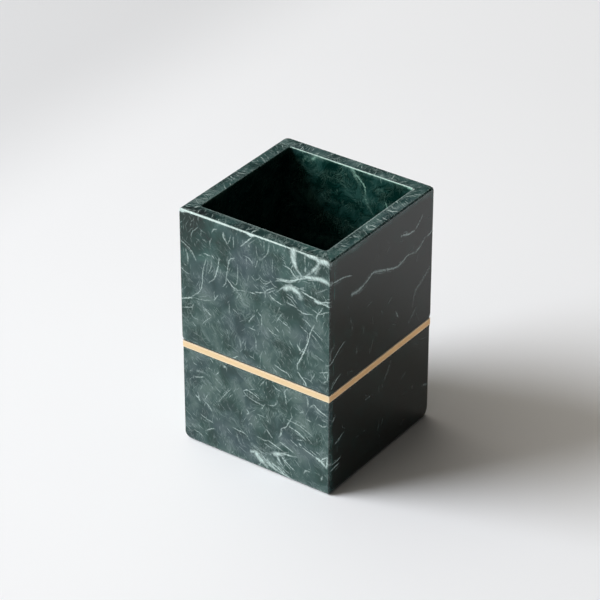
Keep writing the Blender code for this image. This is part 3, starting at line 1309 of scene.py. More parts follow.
STAR_AT_CORNER = (
    cloud(2.4, 1.2, 18.4, 105, 18.3, 102, 18.7, 99.5, 19.8, 97.2, 21.8, 95, taper=0.36),
    crisp(0.6, 0.7, 17.6, 103.5, 18.6, 99.8, 18.2, 98.2, 17.4, 96.2, taper=0.6),
    crisp(0.5, 0.75, 13.8, 96.6, 16.8, 96, 18.4, 94.2, 20.4, 92.5, taper=1.4),
    cloud(1.35, 0.85, 30.6, 104.8, 29.2, 101.4, 27.2, 98.6, 25.2, 96.2),
    cloud(1.6, 0.6, 29.6, 100.6, 28.6, 98.4, 28, 96.8),
    cloud(0.75, 0.75, 25.6, 96.8, 23.4, 94.8, 20.8, 93.2, taper=0.7),
    crisp(0.6, 0.95, 10.9, 89.7, 14, 89.9, 17, 90.8, 20, 92.4, 22.6, 93.8, 25.6, 94.9, taper=1.2),
    cloud(0.85, 0.8, 12.6, 90, 17.2, 90.7, 20.6, 92.6, taper=1.3),
    crisp(0.42, 0.72, 10.2, 88.5, 12.8, 89.4, 16.4, 89.9, 18.6, 91),
    cloud(2.2, 0.5, 18.4, 92.6, 21.6, 94.2, 24.4, 95.6),
    cloud(1.2, 1.25, 24.4, 95, 28, 95.8, 31.2, 96.2, 33.6, 95.9, 35.8, 95.2, taper=1.5),
    crisp(0.95, 0.8, 35, 95.2, 40, 94.8, 44, 94.2, 49.3, 92.5, taper=0.6),
    cloud(1.3, 0.5, 21.2, 95.4, 22.4, 93.6),
    cloud(0.75, 0.6, 23.7, 105, 23.6, 101.8, 23.9, 100.2, taper=0.6),
    crisp(0.62, 0.72, 23.9, 99.4, 23.8, 97),
    cloud(1.9, 1.15, 14.8, 86.8, 16.8, 88, 18.8, 87.7, 20.6, 86.9, 21.8, 85.4, taper=1.2),
    crisp(0.5, 0.62, 16, 89.2, 19.4, 88.9, 24, 89),
    crisp(0.62, 0.75, 12.2, 85.4, 13.4, 86.6, 14.8, 87.4),
    crisp(0.55, 0.95, 22.2, 88.1, 25, 87.3, 27.6, 86.9, 29.6, 85.9, taper=1.5),
    cloud(1.25, 1.15, 28.6, 86.1, 30.2, 86, 31.8, 86.4, taper=0.9),
    crisp(0.6, 0.85, 31, 86.4, 33.6, 87.3, 36, 87.7),
    crisp(0.6, 0.9, 31, 85.9, 33.4, 85.8, 36, 85.3),
    cloud(1.3, 0.5, 31, 86.2, 36, 86.5),
    crisp(0.55, 0.45, 23.4, 90.2, 21, 88.7),
    cloud(0.9, 0.42, 27, 94.2, 28.3, 91.4, 29.2, 88.6, 29.8, 86.4),
    crisp(0.6, 0.34, 33.8, 93.2, 31.2, 91.3, 28.6, 89.7),
    cloud(3.2, 0.3, 20, 94, 26, 97.5, 33, 97),
    cloud(3, 0.26, 25, 92, 30, 90, 34, 90.5),
    crisp(0.42, 0.6, 15.5, 84.6, 17.9, 83.8, 20, 82),
    crisp(0.42, 0.55, 15.4, 83.5, 17.4, 82.6, 19.4, 80.6),
    crisp(0.5, 0.6, 29.3, 77.4, 29, 79.5, 30.7, 82.2, 31.8, 84.3),
    crisp(0.5, 0.55, 27.3, 81.9, 30.2, 81, 33.1, 82.6, 35, 83.5),
)

CLEFT_IN_MIDDLE = (
    crisp(0.5, 0.9, 7.6, 81.2, 9.8, 79.9, 13.3, 79),
    crisp(0.48, 0.75, 0.8, 80.2, 4.6, 81.3),
    crisp(0.45, 0.8, -1.8, 79.2, 0.8, 79.4),
    crisp(0.5, 0.6, 5.4, 79.6, 5.5, 82.2, 7.9, 84.1, 9.4, 85.1),
    crisp(0.42, 0.45, 5.5, 81.7, 3.4, 83.9),
    crisp(0.42, 0.55, 6.3, 81.6, 9.9, 84.4),
    crisp(0.4, 0.42, 7, 86.6, 4.6, 85.4, 3, 86.6),
    crisp(0.4, 0.4, 1.2, 85.6, 3.3, 87.6),
    crisp(0.4, 0.45, 8.4, 87.6, 6.4, 86, 5, 84.6),
    crisp(0.36, 0.5, 2.6, 88.4, 4.4, 86.8, 6.8, 86.9),
    crisp(0.36, 0.5, 4.2, 83.4, 6.6, 84.9),
    crisp(0.36, 0.45, 7.6, 88, 9.2, 86.2, 11, 85.8),
    crisp(0.34, 0.5, 3.4, 85, 5.6, 83.2),
    crisp(0.36, 0.5, 8.2, 83.4, 10.6, 82.2),
    crisp(0.34, 0.45, 0.2, 83.2, 2.2, 82),
    crisp(0.34, 0.4, 10.4, 83.6, 12.4, 85.2),
    crisp(0.34, 0.4, -1.2, 86.8, 0.8, 85),
    crisp(0.5, 0.7, 15.3, 80.8, 20, 80.2),
    crisp(0.55, 0.68, 20.4, 79.6, 23.1, 78.8, 27, 79.6),
    crisp(0.45, 0.7, 11.4, 72.2, 14, 71.2, 16.5, 70.2),
    crisp(0.42, 0.5, 10.6, 70.6, 11.7, 72.7, 13.2, 75.2),
    crisp(0.45, 0.6, 6.3, 66.3, 8.8, 64.8, 10.8, 64.6),
    crisp(0.45, 0.6, 9.8, 68, 11.8, 66.4),
    crisp(0.45, 0.65, 2, 71.6, 3.7, 70.3),
    crisp(0.42, 0.5, 3.6, 69.9, 3.6, 66),
    crisp(0.5, 0.6, 0.3, 69.9, -1.2, 67.9, -2.5, 65.9),
    crisp(0.5, 0.7, -2, 63.4, 0.3, 63.1),
    crisp(0.45, 0.45, 0.7, 59.4, 1, 54.8),
    crisp(0.45, 0.5, -6.9, 56.6, -6.4, 53),
    crisp(0.42, 0.4, -4, 56.6, -4.6, 54.5),
    crisp(0.45, 0.6, -2.2, 50.6, -0.1, 50),
    crisp(0.45, 0.85, -10.3, 46.6, -8, 48.2),
)

CRACK_BY_CORNER = (
    crisp(0.55, 0.88, 27.9, 75.2, 26.4, 71.7, 25, 66.5, 24, 63.6, 22.9, 60.8, 21.4, 57.4, 20.2, 55, 20.2,
          53),
    crisp(0.6, 0.92, 20.5, 51.7, 22.1, 50, 24, 47.9, 24.3, 46.4),
    crisp(0.75, 0.85, 20.2, 63.7, 21.7, 61.7, 23.3, 61.8),
    crisp(0.42, 0.55, 21.6, 72.8, 23.6, 71.5, 25.1, 70.7),
    crisp(0.55, 0.62, 22.8, 76.2, 24.5, 75.5, 26.5, 74),
    crisp(0.5, 0.6, 27.3, 73, 29.3, 71.7, 31.8, 70.2),
    crisp(0.45, 0.5, 26.8, 70.9, 29.4, 68.8),
    crisp(0.48, 0.8, 9.7, 50.9, 12.6, 49.8, 15.5, 49.3, 16.8, 47.8),
    crisp(0.42, 0.5, 8.5, 49.4, 10.6, 47.8),
    crisp(0.45, 0.5, 26.3, 49.7, 28.2, 53.7),
    crisp(0.5, 0.6, 30.6, 55.2, 34.6, 56.8),
    crisp(0.45, 0.6, 34.5, 56.8, 34, 53.1, 32, 51.1),
    crisp(0.42, 0.6, 32.2, 55.2, 34.2, 52.8),
    crisp(0.55, 0.4, 28.2, 62.3, 32.2, 60.9),
    crisp(0.55, 0.7, 33.5, 59.2, 35, 60, 36.9, 60.5, 38.3, 61.7, 41.2, 63.8, 44.6, 65.6),
)

HOOKS_ON_LEFT = (
    crisp(0.48, 0.81, -5.8, 98, -3.1, 101, -0.5, 103.8),
    crisp(0.52, 0.69, -14, 101.4, -14, 99.3, -12.1, 96.8),
    crisp(0.4, 0.44, -12.1, 96.9, -11, 99.1, -10.4, 101.4),
    crisp(0.42, 0.44, -9.3, 101.2, -9.2, 96.4),
    crisp(0.48, 0.48, -19.4, 99.4, -18.6, 101, -17, 101.6),
    crisp(0.42, 0.42, -19.5, 96.8, -20.5, 94.8, -20.2, 92.8),
    crisp(0.45, 0.48, -2.4, 99.9, -1.8, 98.9),
    crisp(0.5, 0.55, -4.4, 94.4, -2.1, 94, -0.4, 92.3),
    crisp(0.45, 0.53, 0.9, 91.1, 1.9, 94.4),
    crisp(0.4, 0.37, -3.3, 94.1, -3.3, 91.1),
    crisp(0.5, 0.37, 4.9, 103.8, 5, 99.8),
    crisp(0.5, 0.4, 7.2, 103.8, 6.9, 100.3, 5.7, 97.9, 3.5, 95.2),
    crisp(0.6, 0.32, 8.8, 97.3, 8.8, 91.6),
    crisp(0.5, 0.66, -23.2, 88.9, -20.6, 88.8),
    crisp(0.42, 0.75, -19.6, 89.4, -18.5, 88.3),
    crisp(0.5, 0.77, -16.2, 89.5, -16.7, 85.5, -17.9, 81.2, -18.7, 79.2),
    crisp(0.45, 0.53, -18.6, 79.3, -21.3, 76.6),
    crisp(0.48, 0.63, -22.4, 86.6, -23.6, 82.6, -24.3, 78.8, -24.5, 75, -25.8, 71.2, -29.8, 67.4),
    crisp(0.42, 0.46, -19.8, 86.6, -20.2, 83.6, -21.5, 80.6),
    crisp(0.52, 0.63, -8.9, 91.8, -11.2, 90.3, -12.1, 86.5, -12.9, 81.6),
    crisp(0.52, 0.77, -12.7, 81.6, -9.8, 78.8, -7.8, 78.3),
    crisp(0.48, 0.55, -12.9, 81.5, -13.3, 79.1, -14.6, 77.3),
    crisp(0.42, 0.44, -7.6, 89.4, -7.4, 85.5, -7.9, 81.2, -8.9, 79.7),
    crisp(0.42, 0.46, -9.9, 76.8, -6.9, 78.4, -3.9, 78.8),
    crisp(0.45, 0.44, -8.3, 74, -6.8, 76.6, -5.3, 74.2),
    cloud(2.2, 0.35, -9.5, 78.4, -6, 75, -5, 71.5),
    crisp(0.55, 0.51, -35.2, 91.4, -32.1, 89.8, -29.2, 87.8, -27.3, 84.4),
    crisp(0.7, 0.44, -32.1, 88, -31.2, 84.5, -31.2, 81.6),
    crisp(0.52, 0.55, -35.2, 79.6, -33.1, 77.9, -30.6, 77.3),
    crisp(0.45, 0.35, -26, 99.4, -28.8, 96.5, -29.4, 93.9),
    crisp(0.6, 0.84, -35.2, 64.7, -32.1, 66, -29, 67.2),
    crisp(0.45, 0.37, -29, 67.2, -24, 67.9, -20.6, 69),
    crisp(0.48, 0.53, -35, 60.7, -32.6, 61.7, -29.8, 62.7, -28.9, 64.4),
    crisp(0.5, 0.77, -23.4, 64, -20.6, 62.2),
    crisp(0.42, 0.46, -24.9, 56.6, -23.6, 58.4, -20.6, 61.3),
    crisp(0.42, 0.42, -30.8, 60.4, -29.3, 58.4, -27, 58.1),
    crisp(0.5, 0.55, -18.9, 69.6, -17.9, 71.2, -17, 72.5),
    crisp(0.45, 0.4, -11.7, 70.4, -11.7, 66.4),
    crisp(0.48, 0.55, -9.9, 69, -7.5, 67.6),
)

FAN_AT_FOOT = (
    cloud(1.8, 1.15, 9.4, 9.6, 11.2, 10.2, 12.8, 10.4, taper=0.8),
    cloud(0.9, 0.9, 12, 10.9, 14.6, 11.5, 17, 11.6, 19.8, 12.3, taper=0.5),
    crisp(0.8, 0.95, 11.6, 10.4, 13.4, 8.9, 15.2, 7.5, 18.4, 5.6, taper=0.6),
    cloud(1.45, 0.85, 10.4, 9.4, 11.2, 7.4, 13.4, 5, taper=0.5),
    cloud(1.3, 0.42, 8.4, 10.2, 7.4, 8.4, 8.6, 6.6),
    cloud(1.3, 0.9, -2, 6.2, 0.2, 6.9, 1, 5.4),
    cloud(2, 1.15, 0.4, 6.4, 1.8, 4.6, 3.4, 3.5, 5.6, 2, taper=0.8),
    crisp(0.6, 0.6, 3, 3.4, 2.2, 2, 1.4, 1.2),
    crisp(0.5, 0.5, -1.6, 8.2, 0.4, 6, 2.4, 3.4),
    crisp(0.5, 0.66, 0.6, 8.4, 2.8, 5.9, 5.2, 3.8, 8.2, 2.2),
    crisp(0.45, 0.6, 12.6, 9.2, 14.4, 7, 16.8, 5.2),
    cloud(1.6, 0.44, -1.4, 9.6, 1, 8.5, 2.6, 7.8, 5.4, 7.8, 6.8, 8.6),
    crisp(0.45, 0.55, 0.2, 9.8, 2.4, 8.1, 5.6, 7.6),
    crisp(0.6, 0.8, 2.4, 7.4, 4.6, 5.2, 7, 3.2, 10.6, 1.7),
    cloud(0.8, 0.95, 5.6, 5.4, 7.6, 3.6, 10, 2.3, 13, 1.6),
    cloud(0.8, 0.9, 8, 4.6, 10.6, 3.6, 13.2, 2.2, 17, 1.1),
    crisp(0.5, 0.72, 10.8, 4.4, 13.4, 3, 15.4, 1.6),
    cloud(0.8, 1, 12, 1.9, 15.2, 1.3, 18.8, 0.5, taper=0.6),
    crisp(0.42, 0.5, 10.2, 6.6, 12.6, 4.6, 16.4, 3),
    cloud(2.2, 0.34, 4.2, 6.8, 8, 4.4, 12, 2.6),
    cloud(2.6, 0.34, -2, 4.8, 3, 3.4, 8, 3),
    cloud(2.4, 0.32, 2, 9.4, 6, 8.6, 9, 10.4),
    crisp(0.5, 0.72, 11.8, 16.2, 15, 15, 18, 13.8),
    crisp(0.56, 0.88, 6.2, 14.6, 9.6, 13.5, 12.7, 12.6),
    crisp(0.5, 0.48, 0.6, 14.4, 4.6, 14, 6, 14.5),
    crisp(0.6, 0.46, 4.4, 12.6, 7.8, 11.6),
    crisp(1.2, 0.98, 28.6, 15.7, 30.7, 14.9, 33.8, 12.7),
    crisp(0.52, 0.92, 30.6, 14.8, 34.1, 17.9),
    crisp(0.52, 0.92, 34.1, 17.8, 33.9, 12.8),
    crisp(0.42, 0.85, 31.2, 14.5, 33.2, 15.5),
    crisp(0.5, 0.62, 26.3, 17.9, 28.9, 16.7),
    crisp(0.42, 0.6, 28.8, 18.4, 30.8, 17.6),
    crisp(1.1, 0.62, 34.2, 14.6, 36.8, 14),
    crisp(0.45, 0.62, 15.4, 27.9, 21.2, 27.3, 27, 24.8),
    crisp(0.52, 0.88, 16.3, 25, 19.8, 24.2, 23.8, 21.9),
    crisp(0.42, 0.48, 23.5, 24.1, 27, 21.2),
    crisp(0.42, 0.42, 21.6, 28.2, 24.1, 27.6),
    crisp(0.52, 0.72, 20.1, 20.4, 23, 21.2),
    crisp(0.46, 0.62, 16.8, 19.1, 20.1, 17.4),
    crisp(0.62, 0.85, 20.9, 18.9, 21.7, 18.4),
    crisp(0.5, 0.72, 22, 17.8, 26.4, 16.3, 29.5, 15.3),
    crisp(0.52, 0.56, 17.7, 30.2, 16, 26.8, 14.5, 24, 12.6, 22.8, 12.1, 20.1, 11.3, 18.1),
    crisp(0.62, 0.92, 12.5, 20.8, 11.9, 19.1),
    crisp(0.62, 0.55, 23, 5.8, 24, 7.5, 25.9, 7.8),
    crisp(0.6, 0.6, 31.3, 6, 31.8, 7.9),
    crisp(0.6, 0.62, 5.4, 19.5, 7.4, 17.3, 8.2, 16.7),
    crisp(0.52, 0.88, 27.8, 39.5, 30.2, 37.8, 33.8, 36.5),
    crisp(0.5, 0.7, 24.4, 31.6, 26.3, 31.3),
    crisp(0.52, 0.6, 30.1, 31.4, 32.1, 31.1, 33.7, 32.1),
    crisp(0.6, 0.62, 21.3, 33.4, 22.9, 34.5),
    crisp(0.5, 0.5, 31.6, 34, 33.8, 33.7),
)

LOOPS_BELOW_BAND = (
    crisp(0.62, 0.62, 15.5, 42.2, 14, 40.1, 14.5, 37.8, 14.9, 34.8),
    crisp(0.45, 0.62, 8.7, 41.2, 10.2, 40.1, 12.2, 39.7),
    crisp(0.75, 0.46, 24.4, 42.2, 25, 39.7, 25, 37.7),
    crisp(0.52, 0.52, 25.9, 37.7, 27.5, 39.1),
    crisp(0.52, 0.78, -5.6, 33.1, -4, 34.2, -0.7, 33.5, 2.2, 32.2),
    crisp(0.5, 0.5, -5.5, 33, -4, 31.6, -0.7, 30.6, 2.1, 30.1, 4.1, 29.9),
    cloud(1.7, 0.34, -3.5, 32.6, 1.5, 31.4),
    crisp(0.5, 0.62, 4.6, 30.7, 3, 28.1),
    crisp(0.5, 0.52, 6.3, 31.2, 9.2, 32, 10.1, 33.7),
    cloud(0.8, 0.24, 10.2, 28.6, 10, 30.6, 12.6, 34.4, 16.4, 37.8),
    crisp(0.48, 0.52, 2.5, 38.6, 4.6, 41.7),
    crisp(0.42, 0.42, -2.7, 34.9, -0.1, 36),
    crisp(0.45, 0.62, -18.9, 35.5, -17.3, 37.4),
    cloud(1.2, 0.72, -14.9, 41.1, -13.7, 40.8),
    crisp(0.52, 0.72, -21.3, 42.2, -20.1, 40.8),
    cloud(0.95, 0.5, -28.1, 34, -26, 34.4, -23, 34.2),
    crisp(0.62, 0.55, -29.4, 30.8, -26.4, 31.6, -24.9, 32.4),
    crisp(0.66, 0.8, -28.9, 22.4, -26.7, 20.5),
    crisp(0.4, 0.5, -28, 24.2, -27, 20.8),
    crisp(0.52, 0.62, -25.1, 21.2, -22.6, 19.7, -21.1, 17.7),
    crisp(0.42, 0.44, -24.8, 21.5, -22.8, 25),
    crisp(0.46, 0.52, -17.5, 23.6, -16.7, 25.1, -14, 28.7, -11.6, 31.7),
    crisp(0.52, 0.56, -26.5, 14.1, -23.6, 13, -20.6, 12.4),
    crisp(0.52, 0.68, -24.1, 7.4, -21.7, 9.2, -20.1, 9.8),
    crisp(0.52, 0.52, -29.9, 5.4, -27.9, 5.1, -25.4, 3.6),
    crisp(0.55, 0.62, -10.6, 14.1, -8.3, 13.7, -5.5, 13.5, -3.5, 12.4),
    cloud(0.9, 0.42, -9.3, 12.2, -7.9, 8.7, -6.3, 7.2),
    crisp(0.62, 0.72, -4.1, 25, -3.1, 24, -3.9, 22.9),
    crisp(0.75, 0.52, -2.4, 19.4, -1.7, 19),
    crisp(0.42, 0.48, 1.1, 25, 5.1, 24.7),
    crisp(0.52, 0.66, 5.7, 23.7, 6.3, 23.3),
)

RIGHT_FACE = (
    crisp(1, 0.7, 49.3, 84.3, 54, 83.6, 59.8, 85.2, 63, 86.7, 66, 86, 74.5, 82.9, 79.8, 81.4, 82.6, 81.7,
          87, 82.8, 91.8, 82),
    cloud(1.4, 0.8, 49.6, 84.2, 54, 83.7, 59, 85),
    cloud(1.3, 0.34, 60, 85.4, 64, 86.9, 70, 84.8),
    cloud(1.3, 0.3, 74, 83.2, 80, 81.6, 86, 82.4),
    cloud(1.3, 0.6, 93, 81.8, 96.4, 83.2, 99.5, 85.6),
    crisp(0.85, 0.7, 100.4, 84.9, 102.8, 85.6, 105.2, 86.9),
    crisp(1, 0.78, 82.3, 93.9, 85.5, 92.9, 87.9, 92.1, 91.8, 91.9),
    cloud(1.4, 0.4, 84, 93.6, 88, 92, 92, 92.2),
    crisp(0.9, 0.46, 92, 92.1, 94.5, 93.8, 97.1, 96.2),
    cloud(1.6, 0.44, 102.8, 69.6, 97.4, 66.4, 93.6, 64.5, 92.1, 61.2, 91.6, 58.1),
    cloud(1.2, 0.36, 93.3, 55.7, 89.1, 51.9),
    cloud(1, 0.52, 35.5, 62.1, 36, 65.5, 38.4, 67.2),
    crisp(0.6, 0.72, 36.2, 48.6, 38.8, 50.7, 42.3, 52.5),
    crisp(0.6, 0.62, 79.7, 61.4, 81.3, 57.9),
    cloud(1.2, 0.3, 53.1, 58.9, 53.1, 55.4),
    cloud(1.2, 0.24, 48.5, 74, 50, 70, 49.5, 66),
    crisp(0.6, 0.75, 39.5, 22, 42.1, 23, 44.9, 24.3),
    crisp(0.62, 0.8, 37.2, 13.5, 40.2, 13.4, 43.2, 14),
    crisp(0.7, 0.9, 36.2, 11, 39.3, 11.3, 41.8, 11.6),
    crisp(0.8, 0.6, 37.3, 33, 38.9, 34.5),
    cloud(1, 0.36, 60, 31.5, 64.1, 31.4),
    cloud(1.4, 0.36, 76.5, 39.8, 75, 36.3, 71.9, 32.9),
    cloud(1.4, 0.5, 100.6, 16.3, 104.7, 14.7),
)

OVER_THE_RIM = (
    # Down to the back's inner arris: the pale line along the front's top arris and round its corners, a painted
    # highlight, which near the right corner runs into the star's calcite.
    cloud(0.8, 2.4, -35.2, 104.9, -20, 105, -1.5, 104.95, taper=0.9),
    cloud(0.66, 1.9, -2.4, 104.95, 9, 105, 19.5, 104.95, taper=0.8),
    cloud(0.8, 1, 19, 104.9, 26, 104.8, taper=1.3),
    cloud(1.3, 1.4, 25, 104.6, 27.6, 104.7, 30.4, 104.2, taper=1.3),
    cloud(1.8, 1.35, 29.8, 104, 32.4, 104.2, 35.4, 103.9, taper=1.2),
    cloud(1.4, 0.6, 33, 103.4, 35.4, 101.8),
    cloud(0.75, 1.7, -35.2, 104.3, -33.5, 104.1, -31.2, 104.6),
    cloud(0.7, 1.6, -2.4, 104.5, -1, 104.2, 0.4, 104.6),
    # Along the back wall's inner top arris: a painted highlight.
    cloud(0.5, 1.9, 110.5, 111, 125, 111.1, 150, 111, 169.5, 111),
    cloud(0.8, 1.7, 110.6, 111.2, 113.2, 111.4),
    # Along the front and right walls' inner top arrises: fainter painted highlights.
    crisp(0.7, 0.4, -29, 110.5, 0, 110.6, 29, 110.6),
    crisp(0.8, 0.5, 41, 110.6, 70, 110.6, 99, 110.6),
    # Calcite veins over the rim.
    crisp(0.55, 0.95, -0.6, 108.6, -1.4, 107, -1.2, 105.1),
    crisp(0.48, 0.5, -4.4, 108.3, -4, 105.7),
    crisp(0.62, 0.8, 22, 109.4, 21, 107.2, 21.4, 105.6),
    cloud(0.9, 0.6, 28, 105.4, 31, 105.7, 34.6, 105.3),
    crisp(0.95, 0.98, -29.2, 110.6, -30.4, 108.9),
    crisp(0.62, 0.55, 29.3, 109.6, 30.8, 106.1),
    crisp(0.6, 0.75, -33, 105.6, -30.6, 106.4),
    crisp(0.62, 0.92, 65.5, 109.3, 63.6, 108.2, 64, 106.5, 65.6, 105.1),
    crisp(0.55, 0.82, 66, 109, 66.5, 107.2, 66, 105.4),
    crisp(0.66, 0.88, 55.9, 109.2, 56.3, 107.5),
    crisp(0.5, 0.6, 54.2, 109.6, 54.8, 109),
    crisp(0.66, 0.96, 79.5, 109.9, 79.5, 108, 81.1, 105.4),
    crisp(0.42, 0.6, 81.8, 108.8, 82.3, 106.8),
    crisp(0.52, 0.68, 73.7, 107.9, 73.2, 105.8),
    crisp(0.6, 0.64, 93.9, 108.6, 94.6, 106.8),
    crisp(0.52, 0.78, 95.6, 107.9, 96.5, 105.8),
    crisp(0.45, 0.6, 91.6, 109.8, 93.7, 108.5),
    crisp(1.2, 0.66, 35.4, 105.4, 36.4, 110),
    crisp(0.7, 0.8, 97.3, 110.3, 99.2, 110.4),
    crisp(0.55, 0.72, 121.8, 109.6, 122.5, 106.6),
    crisp(0.55, 0.46, 138.2, 109.4, 138.6, 106.1),
    crisp(0.52, 0.54, 166.3, 108.3, 167, 105.8),
    crisp(0.55, 0.66, -71.1, 110.1, -70.2, 107.1, -70.8, 105.2),
    crisp(0.46, 0.55, -67.7, 109.7, -68.5, 107.4),
    crisp(0.55, 0.64, -65.5, 109.7, -65.5, 107.6, -66.5, 105.6),
    crisp(0.7, 0.62, -45, 110.8, -44, 110.4),
    crisp(0.52, 0.56, -42, 109.1, -43.7, 106.5),
    crisp(0.7, 0.62, -36.5, 110.4, -36.3, 108.2),
    crisp(0.6, 0.62, -38.4, 109.6, -37.8, 105.5),
)

INSIDE_BACK = (
    crisp(0.75, 0.72, 139, 111.2, 137.6, 113.4, 135.2, 115.5, 133.5, 117.4, 133, 119.8),
    cloud(1.6, 0.6, 139.4, 111.4, 138, 114, 136.2, 116.6),
    cloud(1, 0.4, 133, 119.4, 132.8, 122.9, 130.9, 126.7, 128.3, 130),
    cloud(1.5, 0.55, 156.5, 111.3, 157.6, 112.9, 159.8, 114.4),
    crisp(0.7, 0.7, 156.8, 111.3, 157.8, 113.2),
    cloud(1.6, 0.34, 161, 113, 163, 115.5),
    crisp(0.6, 0.8, 123.4, 121.5, 122.5, 123.8),
    cloud(2, 0.22, 135.5, 116.5, 133, 124),
)

ON_THE_FRONT = HOOKS_ON_LEFT + CLEFT_IN_MIDDLE + CRACK_BY_CORNER
BELOW_THE_BAND = LOOPS_BELOW_BAND + FAN_AT_FOOT

OTHER_SIDES = (
    crisp(0.6, 0.74, 106, 88, 114, 90.5, 122, 87, 131, 84.5, 140, 86.5, 150, 80.5),
    crisp(0.6, 0.66, 140, 86.5, 146, 93, 151, 104, 153, 110),
    crisp(0.5, 0.6, 150, 80.5, 160, 72, 165, 58, 174, 49),
    crisp(0.55, 0.62, 109, 30, 120, 24, 133, 25.5, 147, 18, 156, 6),
    cloud(3.2, 0.34, 128, 83, 136, 80, 141, 84),
    cloud(3, 0.34, 140, 18, 148, 14, 153, 9),
    crisp(0.6, 0.66, -104, 71, -95, 77, -87, 76, -76, 83, -66, 82),
    crisp(0.5, 0.58, -76, 83, -72, 93, -66, 100, -64, 108),
    crisp(0.5, 0.62, -66, 82, -58, 74, -47, 71, -36, 64.3),
    crisp(0.5, 0.6, -101, 36, -90, 31, -80, 33.5, -69, 25, -58, 22),
    crisp(0.55, 0.62, -69, 25, -65, 14, -54, 7, -44, 4),
    cloud(3.2, 0.36, -64, 12, -57, 9, -52, 5),
    cloud(2.8, 0.34, -78, 84, -72, 86, -66, 84),
    *matched(ON_THE_FRONT + BELOW_THE_BAND, (-35.0, 0.0)),
    *matched(ON_THE_FRONT, (70.0, 75.5), turned=True),
    *matched(BELOW_THE_BAND, (70.0, 21.5), turned=True),
)

HAIR_ZONES = (
    HairZone(-35.0, 35.0, -4.0, 105.0, 0.52, (-48.0, 78.0), 24.0, 1.8, 0.54, seed=2),
    HairZone(35.0, 105.0, -4.0, 104.0, 0.02, (-40.0, 60.0), 30.0, 2.6, 0.24, 0.40, seed=3),
    HairZone(105.0, 175.0, -4.0, 105.0, 0.46, (-44.0, 70.0), 24.0, 1.9, 0.56, seed=4),
    HairZone(-105.0, -35.0, -4.0, 105.0, 0.46, (-40.0, 74.0), 24.0, 1.8, 0.56, seed=5),
    HairZone(-105.0, 175.0, 105.2, 109.6, 0.75, (62.0, 112.0), 10.0, 2.0, 1.10, 0.34, seed=6),
)

BEDS = (
    # Painted shade over the whole outer right face, which is turned from the key light: nearly black and
    # greener.
    Bed((71.5, 50.0), (34.8, 54.6), -1.0, 14.0, 0.06),
    # Painted shade down the inside of the cup, on all four walls.
    Bed((35.0, 166.0), (145.0, 55.0), -0.6, 20.0, 0.04),
    # Darker over the whole rim of all four walls.
    Bed((35.0, 108.0), (145.0, 3.4), -0.22, 20.0, 0.12),
    Bed((-30.0, 97.0), (15.0, 17.0), -0.60),
    # Darker towards the top of the front face, over its rim and a little way down inside.
    Bed((4.0, 104.0), (44.0, 25.0), -0.30),
    Bed((6.9, 36.8), (4.2, 4.2), -0.45),
    Bed((12.8, 84.0), (4.0, 3.2), -0.22),
    Bed((25.0, 84.0), (5.0, 2.6), -0.26),
    Bed((33.0, 79.0), (3.0, 4.0), -0.25),
    Bed((36.3, 76.0), (1.5, 31.0), -0.9, 14.0, 0.35),
    Bed((-1.0, 51.0), (6.0, 2.6), -0.4),
    Bed((-17.0, 88.0), (3.0, 6.0), -0.15),
    Bed((1.0, 90.0), (14.0, 14.0), 0.85),
    Bed((24.0, 68.0), (9.0, 8.0), 0.5),
    Bed((-12.0, 8.0), (12.0, 8.0), 0.5),
    Bed((0.0, 60.0), (12.0, 9.0), 0.3),
    Bed((12.0, 21.0), (8.0, 9.0), 0.4),
    Bed((-60.0, 90.0), (15.0, 13.0), 0.5),
    Bed((-84.0, 58.0), (9.0, 8.0), -0.4),
    Bed((-72.0, 18.0), (12.0, 9.0), 0.4),
    Bed((152.0, 70.0), (13.0, 12.0), 0.5),
    Bed((118.0, 94.0), (9.0, 8.0), -0.4),
    Bed((124.0, 24.0), (12.0, 9.0), 0.4),
)

FIGURE_VEINS = (STAR_AT_CORNER + CLEFT_IN_MIDDLE + CRACK_BY_CORNER + HOOKS_ON_LEFT + FAN_AT_FOOT
                + LOOPS_BELOW_BAND + RIGHT_FACE + OVER_THE_RIM + INSIDE_BACK + OTHER_SIDES)


